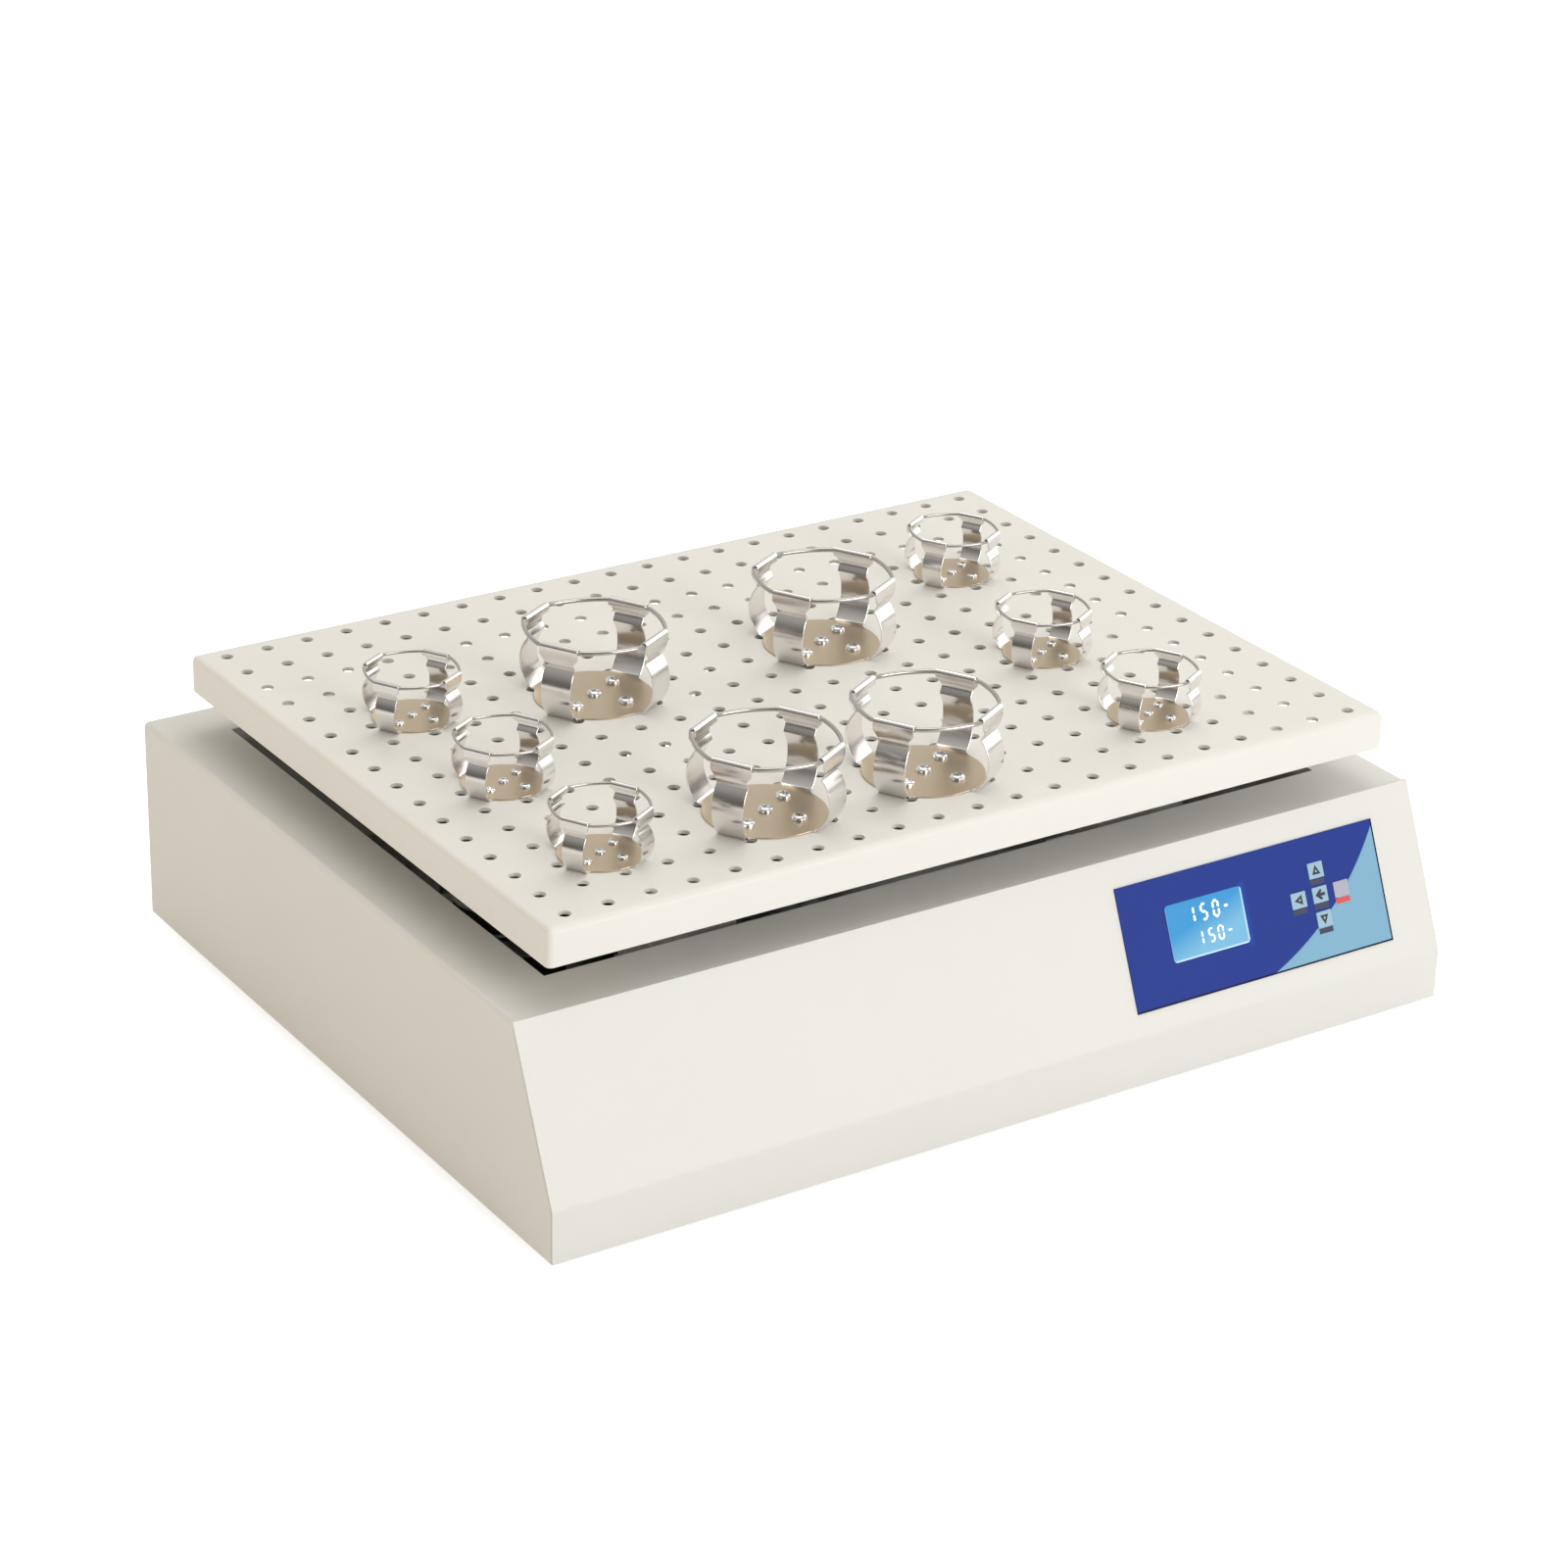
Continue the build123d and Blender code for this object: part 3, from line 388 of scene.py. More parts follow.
def softStep(tree, value, edge, softness):
    # 0 below the edge, 1 above it, with a short ramp
    node = addNode(tree, "MapRange")
    node.inputs["From Min"].default_value = edge - softness
    node.inputs["From Max"].default_value = edge + softness
    wire(tree, value, node.inputs["Value"])
    return node.outputs[0]


def overlayMaterial():
    material, tree, shader = newMaterial("panelFilm")
    across, up = slopeCoordinates(tree, *panel["arcCentre"])
    squares = calc(tree, "ADD", calc(tree, "MULTIPLY", across, across), calc(tree, "MULTIPLY", up, up))
    reach = calc(tree, "SQRT", squares)
    outside = softStep(tree, reach, panel["arcRadius"], panel["arcSoftness"])
    colour = mixColour(tree, outside, panel["navy"], panel["lightBlue"])
    # the backlight spills into the film just right of the display
    across, up = slopeCoordinates(tree, display["x"], display["y"])
    sideways = calc(tree, "SUBTRACT", calc(tree, "ABSOLUTE", across), display["width"] / 2)
    upward = calc(tree, "SUBTRACT", calc(tree, "ABSOLUTE", up), display["height"] / 2)
    nearest = calc(tree, "MAXIMUM", sideways, upward)
    spill = calc(tree, "SUBTRACT", 1.0, calc(tree, "DIVIDE", nearest, 5.0), clamp=True)
    rightSide = softStep(tree, across, display["width"] / 2, 3.0)
    spill = calc(tree, "MULTIPLY", calc(tree, "MULTIPLY", spill, spill), rightSide)
    colour = mixColour(tree, spill, colour, panel["glow"])
    finish = useGroup(tree, unevenFinish, DriftSize=14.0, SkinSize=2500.0)
    colour = mixColour(tree, spread(tree, finish.outputs["Drift"], 0.0, 0.12), colour, (0.05, 0.09, 0.36))
    # dark line along the right and the lower edge
    across, up = slopeCoordinates(tree, 0, 0)
    right = calc(tree, "SUBTRACT", panel["width"] / 2, across)
    below = calc(tree, "ADD", panel["height"] / 2, up)
    rim = softStep(tree, calc(tree, "MINIMUM", right, below), panel["edgeWidth"], 0.15)
    colour = mixColour(tree, rim, panel["edge"], colour)
    wire(tree, colour, shader.inputs["Base Color"])
    wire(tree, spread(tree, finish.outputs["Drift"], 0.42, 0.55), shader.inputs["Roughness"])
    shader.inputs["Specular IOR Level"].default_value = 0.12
    setBump(tree, shader, finish.outputs["Skin"], 0.000006)
    return material


def displayMaterial():
    material, tree, shader = newMaterial("litDisplay")
    across, up = slopeCoordinates(tree, display["x"], display["y"])
    # the backlight is deeper blue at the upper left and paler below a slanted soft line
    slant = calc(tree, "ADD", calc(tree, "MULTIPLY", across, 0.35), calc(tree, "MULTIPLY", up, -1.0))
    colour = mixColour(tree, softStep(tree, slant, 2.0, 9.0), display["deep"], display["pale"])
    sideways = calc(tree, "SUBTRACT", display["width"] / 2, across)
    below = calc(tree, "ADD", display["height"] / 2, up)
    inwards = calc(tree, "DIVIDE", calc(tree, "MINIMUM", sideways, below), display["rim"])
    rim = calc(tree, "SUBTRACT", 1.0, inwards, clamp=True)
    nearSide = 0.5 - display["width"] / 2
    otherSides = calc(tree, "ADD", calc(tree, "ABSOLUTE", across), nearSide, clamp=True)
    rim = calc(tree, "MAXIMUM", rim, otherSides)
    colour = mixColour(tree, rim, colour, display["edge"])
    wire(tree, colour, shader.inputs["Base Color"])
    wire(tree, colour, shader.inputs["Emission Color"])
    shader.inputs["Emission Strength"].default_value = display["glow"]
    shader.inputs["Roughness"].default_value = 0.22
    shader.inputs["Specular IOR Level"].default_value = 0.15
    return material


def plainMaterial(name, light, dark, rough, glow=0.0):
    # small moulded or printed things
    material, tree, shader = newMaterial(name)
    finish = useGroup(tree, unevenFinish, DriftSize=60.0, SkinSize=1800.0)
    colour = mixColour(tree, finish.outputs["Drift"], dark, light)
    wire(tree, colour, shader.inputs["Base Color"])
    wire(tree, spread(tree, finish.outputs["Skin"], rough - 0.06, rough + 0.06), shader.inputs["Roughness"])
    setBump(tree, shader, finish.outputs["Skin"], 0.00001)
    if glow:
        wire(tree, colour, shader.inputs["Emission Color"])
        shader.inputs["Emission Strength"].default_value = glow
    return material


looks = {
    "creamPaint": paintMaterial("creamPaint", (0.77, 0.765, 0.725), (0.74, 0.73, 0.685), 0.45),
    "trayPaint": paintMaterial("trayPaint", (0.835, 0.82, 0.775), (0.81, 0.79, 0.74), 0.4, skinSize=900.0),
    "framePaint": paintMaterial("framePaint", (0.62, 0.61, 0.57), (0.56, 0.55, 0.51), 0.5),
    "panelFilm": overlayMaterial(),
    "litDisplay": displayMaterial(),
    "displayDigit": plainMaterial("displayDigit", (0.95, 0.98, 1.0), (0.9, 0.95, 1.0), 0.4, glow=0.5),
    "keyCap": plainMaterial("keyCap", (0.33, 0.52, 0.64), (0.29, 0.47, 0.59), 0.45),
    "runKey": plainMaterial("runKey", (0.46, 0.45, 0.55), (0.38, 0.37, 0.48), 0.4),
    "keyPrint": plainMaterial("keyPrint", (0.012, 0.014, 0.03), (0.008, 0.01, 0.02), 0.45),
    "labelStrip": plainMaterial("labelStrip", (0.032, 0.042, 0.085), (0.02, 0.028, 0.06), 0.5),
    "redStrip": plainMaterial("redStrip", (0.74, 0.075, 0.06), (0.64, 0.055, 0.045), 0.38),
    "springSteel": metalMaterial("springSteel", (0.86, 0.83, 0.81), (0.76, 0.73, 0.71), 0.17),
    # clamp disc steel: its tan base colour is partly the satin finish and partly a painted warm reflection
    # from above
    "discSteelWarmReflection": metalMaterial(
        "discSteelWarmReflection", (0.66, 0.55, 0.41), (0.56, 0.46, 0.34), 0.36, stretch=(900.0, 60.0, 60.0)
    ),
    "wireSteel": metalMaterial("wireSteel", (0.58, 0.55, 0.53), (0.46, 0.44, 0.42), 0.2),
    "screwSteel": metalMaterial("screwSteel", (0.90, 0.90, 0.89), (0.80, 0.80, 0.79), 0.16),
    "zincSteel": metalMaterial("zincSteel", (0.62, 0.62, 0.60), (0.50, 0.50, 0.49), 0.38),
    "turnedSteel": metalMaterial("turnedSteel", (0.66, 0.66, 0.65), (0.56, 0.56, 0.55), 0.25),
    "castAluminium": metalMaterial("castAluminium", (0.66, 0.67, 0.68), (0.56, 0.57, 0.58), 0.42),
    "blackRubber": plainMaterial("blackRubber", (0.03, 0.03, 0.03), (0.018, 0.018, 0.018), 0.75),
    "blackPlastic": plainMaterial("blackPlastic", (0.028, 0.028, 0.03), (0.018, 0.018, 0.02), 0.42),
    "motorPaint": paintMaterial("motorPaint", (0.05, 0.052, 0.055), (0.035, 0.036, 0.04), 0.45),
    "circuitBoard": plainMaterial("circuitBoard", (0.03, 0.22, 0.09), (0.02, 0.15, 0.06), 0.45),
}
print("materials ready")

# The carried-over CAD nodes and their finishes
dressed = {
    "creamPaint": ["housing_cover", "front_panel"],
    "framePaint": ["base_frame", "carriage_frame"],
    "panelFilm": ["control_overlay"],
    "litDisplay": ["display_window"],
    "keyCap": ["key_up", "key_left", "key_enter", "key_down"],
    "runKey": ["key_run"],
    "zincSteel": [
        "base_pan", "cover_screws", "power_supply", "motor_bracket",
        "counterweight", "tray_rails", "tray_bolts",
    ],
    "turnedSteel": [
        "spindle_bearings", "eccentric_spindle", "carriage_bearing",
        "idler_crank_1", "idler_crank_2", "idler_crank_3", "idler_crank_4",
    ],
    "castAluminium": ["spindle_housing", "idler_housings", "drive_pulley", "motor_pulley"],
    "blackRubber": ["rubber_feet", "drive_belt"],
    "blackPlastic": ["lcd_module", "power_inlet", "rocker_frame", "rocker_switch"],
    "motorPaint": ["motor"],
    "circuitBoard": ["control_board"],
}
for look, names in dressed.items():
    for name in names:
        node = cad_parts[name]
        node.data.materials.clear()
        node.data.materials.append(looks[look])

# Tray: one cell with a round hole, repeated, folded down at the edges and given its thickness
tray = {
    "pitch": 30.0,
    "columns": 21,
    "rows": 16,
    "holeRadius": 4.25,
    "holeSides": 16,
    "fold": 4.0,
    "foldSteps": 4,
    "sheet": 2.5,
}


def makeTray():
    low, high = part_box("tray")
    middle = (low + high) / 2
    halfPitch = tray["pitch"] / 2 * mm
    bpy.ops.mesh.primitive_circle_add(vertices=tray["holeSides"], radius=tray["holeRadius"] * mm)
    plate = named("trayPlate")
    # the hole's edge is extruded out to the square of its cell
    pick(plate, "EDGE", lambda edge: True)
    bpy.ops.mesh.extrude_region_move()
    work = bmesh.from_edit_mesh(plate.data)
    for vertex in work.verts:
        if vertex.select:
            longer = max(abs(vertex.co.x), abs(vertex.co.y))
            vertex.co *= halfPitch / longer
    bmesh.update_edit_mesh(plate.data)
    leaveEdit()
    for axis, count in ((0, tray["columns"]), (1, tray["rows"])):
        offset = [0, 0, 0]
        offset[axis] = tray["pitch"] * mm
        modify(
            plate, "ARRAY", count=count, use_relative_offset=False, use_constant_offset=True,
            constant_offset_displace=offset, use_merge_vertices=True, merge_threshold=0.00001,
        )
    start = Vector((
        middle.x - (tray["columns"] - 1) * halfPitch,
        middle.y - (tray["rows"] - 1) * halfPitch,
        high.z,
    ))
    place(plate, Matrix.Translation(start))
    # out to the tray's own edges
    pick(plate, "EDGE", lambda edge: edge.is_boundary and edgeAtSide(edge, middle, halfPitch))
    bpy.ops.mesh.extrude_region_move()
    work = bmesh.from_edit_mesh(plate.data)
    for vertex in work.verts:
        if vertex.select:
            vertex.co.x = low.x if vertex.co.x < middle.x else high.x
    bmesh.update_edit_mesh(plate.data)
    leaveEdit()
    # the rim
    pick(plate, "EDGE", lambda edge: edge.is_boundary and onBorder(edge, low, high))
    bpy.ops.mesh.extrude_region_move(TRANSFORM_OT_translate={"value": (0, 0, low.z - high.z)})
    leaveEdit()
    pick(plate, "EDGE", lambda edge: not edge.is_boundary and foldEdge(edge, low, high))
    bpy.ops.mesh.bevel(offset=tray["fold"] * mm, segments=tray["foldSteps"], affect="EDGES")
    bpy.ops.mesh.select_all(action="SELECT")
    bpy.ops.mesh.normals_make_consistent(inside=False)
    leaveEdit()
    modify(plate, "SOLIDIFY", thickness=tray["sheet"] * mm, offset=-1, use_even_offset=True)
    smooth(plate, 30)
    finishPiece(plate, "carriage", "cream_paint", looks["trayPaint"])
    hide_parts("tray")
    return plate


def edgeAtSide(edge, middle, halfPitch):
    reach = tray["columns"] * halfPitch
    return all(abs(abs(v.co.x - middle.x) - reach) < 0.0001 for v in edge.verts)


def onBorder(edge, low, high):
    ends = [v.co for v in edge.verts]
    atX = all(min(abs(c.x - low.x), abs(c.x - high.x)) < 0.0001 for c in ends)
    atY = all(min(abs(c.y - low.y), abs(c.y - high.y)) < 0.0001 for c in ends)
    return atX or atY


def foldEdge(edge, low, high):
    # the top perimeter and the four upright corners
    ends = [v.co for v in edge.verts]
    level = all(abs(c.z - high.z) < 0.0001 for c in ends)
    upright = abs(ends[0].z - ends[1].z) > 0.01
    atX = all(min(abs(c.x - low.x), abs(c.x - high.x)) < 0.0001 for c in ends)
    atY = all(min(abs(c.y - low.y), abs(c.y - high.y)) < 0.0001 for c in ends)
    return (level and onBorder(edge, low, high)) or (upright and atX and atY)


makeTray()
print("tray ready")

# Spring clamps: disc, four bowed legs and hooks over a wire ring, at the size of the large ones
clamp = {
    "turn": 29.6,
    "discRadius": 40.0,
    "discSides": 40,
    "neckEdges": 6,
    "sheet": 1.0,
    "edgeBreak": 0.18,
    "footRadius": 43.5,
    "footFold": 1.6,
    "legWidth": 22.0,
    "bulge": (51.0, 17.0),
    "waist": (45.0, 36.0),
    "hookBottom": 45.0,
    "hookWidth": 28.5,
    "hookTaper": 3.8,
    "lipLength": 4.5,
    "ringReach": 45.0,
    "ringHeight": 50.0,
    "wire": 1.5,
    "wireGap": 0.1,
    "straight": 31.0,
    "bow": 3.0,
    "cornerRadius": 4.0,
    "screwReach": 24.0,
    "smallScale": 0.667,
}
screw = {
    "head": 5.2,
    "height": 3.0,
    "shank": 3.0,
    "nut": 5.6,
    "nutHeight": 3.2,
    "crossLength": 5.2,
    "crossWidth": 1.1,
    "crossDepth": 1.1,
}


def arcPoints(first, through, last, steps):
    # points on the circle through three points, without the first one
    ax, ay = first
    bx, by = through
    cx, cy = last
    d = 2 * (ax * (by - cy) + bx * (cy - ay) + cx * (ay - by))
    ux = ((ax**2 + ay**2) * (by - cy) + (bx**2 + by**2) * (cy - ay) + (cx**2 + cy**2) * (ay - by)) / d
    uy = ((ax**2 + ay**2) * (cx - bx) + (bx**2 + by**2) * (ax - cx) + (cx**2 + cy**2) * (bx - ax)) / d
    radius = math.hypot(ax - ux, ay - uy)
    start = math.atan2(ay - uy, ax - ux)
    end = math.atan2(cy - uy, cx - ux)
    angles = [start + (end - start) * i / steps for i in range(1, steps + 1)]
    return [(ux + radius * math.cos(angle), uy + radius * math.sin(angle)) for angle in angles]


def legStations(scale):
    # (radius, height, width) along the outer face of a leg, from the disc's edge to the hook's lip
    foot = clamp["footRadius"] * scale
    fold = clamp["footFold"] * scale
    neck = clamp["legWidth"] * scale
    wide = clamp["hookWidth"] * scale
    wireRadius = clamp["wire"] * scale
    reach = wireRadius + clamp["wireGap"] + clamp["sheet"]
    ring = clamp["ringReach"] * scale
    height = clamp["ringHeight"] * scale
    stations = [
        (foot - 6.4 * scale, 0, neck * 1.37),
        (foot - 5.2 * scale, 0, neck * 1.19),
        (foot - 3.8 * scale, 0, neck * 1.07),
        (foot - 2.4 * scale, 0, neck * 1.01),
        (foot - fold, 0, neck),
        (foot - fold * 0.4, fold * 0.25, neck),
        (foot + fold * 0.15, fold * 0.8, neck),
    ]
    bulge = tuple(value * scale for value in clamp["bulge"])
    waist = tuple(value * scale for value in clamp["waist"])
    stations += [(r, z, neck) for r, z in arcPoints((foot + fold * 0.15, fold * 0.8), bulge, waist, 10)]
    # out again to the hook, which starts wider than the leg
    bottom = clamp["hookBottom"] * scale
    taper = clamp["hookTaper"] * scale
    for share in (0.3, 0.6, 1.0):
        eased = share * share * (3 - 2 * share)
        rise = (bottom - taper - waist[1]) * share
        stations.append((waist[0] + (ring + reach - waist[0]) * eased, waist[1] + rise, neck))
    stations.append((ring + reach, bottom - taper * 0.1, wide * 0.97))
    stations.append((ring + reach, bottom, wide))
    for turn in range(0, 181, 20):
        angle = math.radians(turn)
        stations.append((ring + reach * math.cos(angle), height + reach * math.sin(angle), wide))
    stations.append((ring - reach, height + wireRadius - clamp["lipLength"] * scale, wide * 0.96))
    return stations


def makeClamp(scale, name):
    # a quarter of the disc with one leg, turned round four times
    bpy.ops.mesh.primitive_circle_add(
        vertices=clamp["discSides"], radius=clamp["discRadius"] * scale * mm, fill_type="TRIFAN"
    )
    body = named(name)
    pick(body, "FACE", lambda face: abs(math.atan2(*reversed(face.calc_center_median().xy))) > math.pi / 4)
    bpy.ops.mesh.delete(type="FACE")
    leaveEdit()
    half = math.tau / clamp["discSides"] * clamp["neckEdges"] / 2
    rim = clamp["discRadius"] * scale * mm

    def neckEdge(edge):
        ends = [v.co for v in edge.verts]
        return all(c.length > rim * 0.99 and abs(math.atan2(c.y, c.x)) < half + 0.01 for c in ends)

    # the arc of the disc's own edge is straightened across the neck
    pick(body, "EDGE", neckEdge)
    width = 2 * rim * math.sin(half)
    at = Vector((rim * math.cos(half), 0, 0))
    bpy.ops.transform.resize(value=(0, 1, 1), center_override=at)
    for radius, height, wide in legStations(scale):
        bpy.ops.mesh.extrude_region_move()
        target = Vector((radius * mm, 0, height * mm))
        bpy.ops.transform.translate(value=target - at)
        bpy.ops.transform.resize(value=(1, wide * mm / width, 1), center_override=(0, 0, 0))
        at = target
        width = wide * mm
    bpy.ops.mesh.select_all(action="SELECT")
    bpy.ops.mesh.spin(steps=4, dupli=True, angle=math.tau, center=(0, 0, 0), axis=(0, 0, 1))
    bpy.ops.mesh.select_all(action="SELECT")
    bpy.ops.mesh.remove_doubles(threshold=0.00002)
    leaveEdit()
    # outer face points down and outwards, so the sheet's thickness goes up and inwards
    pick(body, "FACE", lambda face: True)
    work = bmesh.from_edit_mesh(body.data)
    lowest = min(work.faces, key=lambda face: face.calc_center_median().length)
    if lowest.normal.z > 0:
        bpy.ops.mesh.flip_normals()
    leaveEdit()
    modify(body, "SOLIDIFY", thickness=clamp["sheet"] * mm, offset=-1, use_even_offset=True)
    modify(
        body, "BEVEL", width=clamp["edgeBreak"] * mm * scale, segments=1,
        limit_method="ANGLE", angle_limit=math.radians(60),
    )
    smooth(body, 40)
    body.data.materials.append(looks["springSteel"])
    # the flat disc takes the steel whose tan is partly a painted warm reflection
    body.data.materials.append(looks["discSteelWarmReflection"])
    discReach = (clamp["footRadius"] - 2.2) * scale * mm
    for face in body.data.polygons:
        spot = face.center
        face.material_index = int(spot.z < 0.0012 and math.hypot(spot.x, spot.y) < discReach)
    return body


def makeRing(scale, name):
    # an octagon of wire, straight in the hooks and slightly bowed between them
    bpy.ops.mesh.primitive_circle_add(vertices=8, radius=clamp["ringReach"] * scale * mm)
    ring = named(name)
    side = clamp["straight"] / 2 * scale * mm
    reach = clamp["ringReach"] * scale * mm
    corners = [(reach, -side), (reach, side), (side, reach), (-side, reach)]
    corners += [(-x, -y) for x, y in corners]
    for vertex, (x, y) in zip(ring.data.vertices, corners):
        vertex.co = (x, y, 0)
    pick(ring, "VERT", lambda vertex: True)
    bpy.ops.mesh.bevel(offset=clamp["cornerRadius"] * scale * mm * 0.5, segments=4, affect="VERTICES")
    leaveEdit()

    def freeSide(edge):
        ends = [v.co for v in edge.verts]
        turned = abs(abs(ends[0].x) - abs(ends[1].x)) > 0.2 * reach
        return turned and abs(abs(ends[0].y) - abs(ends[1].y)) > 0.2 * reach

    pick(ring, "EDGE", freeSide)
    bpy.ops.mesh.subdivide(number_cuts=5)
    leaveEdit()
    start = Vector((reach, side * 0.92, 0))
    for vertex in ring.data.vertices:
        c = vertex.co
        share = (abs(c.x) - side) / (reach - side)
        if abs(c.x) > side * 1.08 and abs(c.y) > side * 1.08:
            c += c.normalized() * (4 * share * (1 - share) * clamp["bow"] * scale * mm)
    # the wire's two ends meet inside a hook
    nearest = min(ring.data.edges, key=lambda e: sideDistance(ring, e, start))
    pick(ring, "EDGE", lambda edge: edge.index == nearest.index)
    bpy.ops.mesh.subdivide(number_cuts=2)
    leaveEdit()
    cut = sorted(ring.data.vertices, key=lambda v: v.index)[-2:]
    cut[0].co = Vector((reach, side * 0.60, 0))
    cut[1].co = Vector((reach, side * 0.60 + 0.25 * mm, 0))
    gap = {v.index for v in cut}
    pick(ring, "EDGE", lambda edge: {v.index for v in edge.verts} == gap)
    bpy.ops.mesh.delete(type="EDGE")
    leaveEdit()
    activate(ring)
    bpy.ops.object.convert(target="CURVE")
    curve = bpy.context.object.data
    curve.bevel_depth = clamp["wire"] * scale * mm
    curve.bevel_resolution = 3
    curve.use_fill_caps = True
    bpy.ops.object.convert(target="MESH")
    ring = named(name)
    place(ring, Matrix.Translation((0, 0, clamp["ringHeight"] * scale * mm)))
    smooth(ring, 50)
    return ring


def sideDistance(ring, edge, spot):
    a, b = (ring.data.vertices[i].co for i in edge.vertices)
    inside = min(a.y, b.y) < 0 < max(a.y, b.y) and a.x > 0 and b.x > 0
    return 0 if inside else ((a + b) / 2 - spot).length + 1


def makeScrew(scale, name, withNut):
    # pan head with a cross recess; the middle screw also has its shank and nut
    head = screw["head"] * scale * mm
    height = screw["height"] * scale * mm
    bpy.ops.mesh.primitive_cylinder_add(vertices=18, radius=head, depth=height, location=(0, 0, height / 2))
    pan = named(name)
    settle(pan)
    top = height * 0.99
    pick(pan, "EDGE", lambda edge: all(v.co.z > top for v in edge.verts))
    bpy.ops.mesh.bevel(offset=height * 0.8, segments=4, affect="EDGES")
    leaveEdit()
    longSide, shortSide = screw["crossLength"], screw["crossWidth"]
    for length, width in ((longSide, shortSide), (shortSide, longSide)):
        bpy.ops.mesh.primitive_cube_add(size=1, location=(0, 0, height))
        cutter = bpy.context.object
        cutter.scale = (length * scale * mm, width * scale * mm, 2 * screw["crossDepth"] * scale * mm)
        settle(cutter)
        modify(pan, "BOOLEAN", operation="DIFFERENCE", object=cutter, solver="EXACT")
        bpy.data.objects.remove(cutter)
    pieces = [pan]
    if withNut:
        depth = (tray["sheet"] + clamp["sheet"]) * mm
        nutDepth = screw["nutHeight"] * scale * mm
        bpy.ops.object.select_all(action="DESELECT")
        bpy.ops.mesh.primitive_cylinder_add(
            vertices=14, radius=screw["shank"] * scale * mm, depth=depth + nutDepth * 1.3,
            location=(0, 0, -(depth + nutDepth * 1.3) / 2),
        )
        pieces.append(bpy.context.object)
        bpy.ops.mesh.primitive_cylinder_add(
            vertices=6, radius=screw["nut"] * scale * mm, depth=nutDepth,
            location=(0, 0, -depth - nutDepth / 2),
        )
        pieces.append(bpy.context.object)
        for piece in pieces[1:]:
            settle(piece)
    whole = joined(pieces, name)
    smooth(whole, 40)
    return whole


def clampPlaces():
    # centre and size of each clamp, from the CAD nodes
    found = []
    for size, scale, count in (("large", 1.0, 4), ("small", clamp["smallScale"], 6)):
        for number in range(1, count + 1):
            low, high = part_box(f"{size}_clamp_{number}")
            found.append((size, number, scale, Vector(((low.x + high.x) / 2, (low.y + high.y) / 2, low.z))))
    return found


def makeClamps():
    masters = {}
    for size, scale in (("large", 1.0), ("small", clamp["smallScale"])):
        masters[size] = [
            makeClamp(scale, f"{size}ClampMaster"),
            makeRing(scale, f"{size}RingMaster"),
            makeScrew(scale, f"{size}MiddleScrewMaster", True),
            makeScrew(scale, f"{size}ScrewMaster", False),
        ]
    turned = Matrix.Rotation(math.radians(clamp["turn"]), 4, "Z")
    heads = []
    for size, number, scale, spot in clampPlaces():
        body, ring, middleScrew, outerScrew = masters[size]
        here = Matrix.Translation(spot) @ turned
        piece = copyOf(body, f"{size}Clamp{number}", here)
        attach(piece, "carriage")
        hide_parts(f"{size}_clamp_{number}")
        wireRing = copyOf(ring, f"{size}WireRing{number}", here)
        finishPiece(wireRing, "carriage", "stainless_wire", looks["wireSteel"])
        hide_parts(f"{size}_ring_{number}")
        onDisc = here @ Matrix.Translation((0, 0, clamp["sheet"] * mm))
        heads.append(copyOf(middleScrew, "screwHead", onDisc))
        for quarter in range(4):
            angle = math.radians(90 * quarter)
            reach = clamp["screwReach"] * scale * mm
            beside = Matrix.Translation((reach * math.cos(angle), reach * math.sin(angle), 0))
            twist = Matrix.Rotation(0.7 * (number + 2 * quarter), 4, "Z")
            heads.append(copyOf(outerScrew, "screwHead", onDisc @ beside @ twist))
    screws = joined(heads, "clampScrewHeads")
    finishPiece(screws, "carriage", "zinc_steel", looks["screwSteel"])
    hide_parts("clamp_screws")
    for pieces in masters.values():
        for piece in pieces:
            bpy.data.objects.remove(piece)


makeClamps()
print("clamps ready")

# Printing on the panel and the lit digits
keys = {
    "places": {
        "up": (53.6, 18.1),
        "left": (35.6, 1.6),
        "enter": (53.6, 1.6),
        "run": (71.6, 1.6),
        "down": (53.6, -14.9),
    },
    "top": 1.3,
    "icon": 0.06,
    "stripDrop": 7.6,
    "stripHeight": 3.6,
    "stripWidth": 11.6,
    "stripPrint": 0.05,
}


def flatShape(name, points, matrix, thickness):
    # a thin raised print, filled from its outline and given a little thickness
    bpy.ops.object.select_all(action="DESELECT")
    bpy.ops.mesh.primitive_circle_add(vertices=len(points), radius=0.001, fill_type="NGON")
    shape = named(name)
    for vertex, (x, y) in zip(shape.data.vertices, points):
        vertex.co = (x * mm, y * mm, 0)
    pick(shape, "FACE", lambda face: True)
    bpy.ops.mesh.normals_make_consistent(inside=False)
    work = bmesh.from_edit_mesh(shape.data)
    work.faces.ensure_lookup_table()
    if work.faces[0].normal.z < 0:
        bpy.ops.mesh.flip_normals()
    leaveEdit()
    modify(shape, "SOLIDIFY", thickness=thickness * mm, offset=1)
    place(shape, matrix)
    return shape


def bar(first, second, thick):
    # one display segment with pointed ends
    (x0, y0), (x1, y1) = first, second
    length = math.hypot(x1 - x0, y1 - y0)
    ux, uy = (x1 - x0) / length, (y1 - y0) / length
    half = thick / 2
    cut = min(half, length / 3)
    return [
        (x0, y0),
        (x0 + ux * cut + uy * half, y0 + uy * cut - ux * half),
        (x1 - ux * cut + uy * half, y1 - uy * cut - ux * half),
        (x1, y1),
        (x1 - ux * cut - uy * half, y1 - uy * cut + ux * half),
        (x0 + ux * cut - uy * half, y0 + uy * cut + ux * half),
    ]


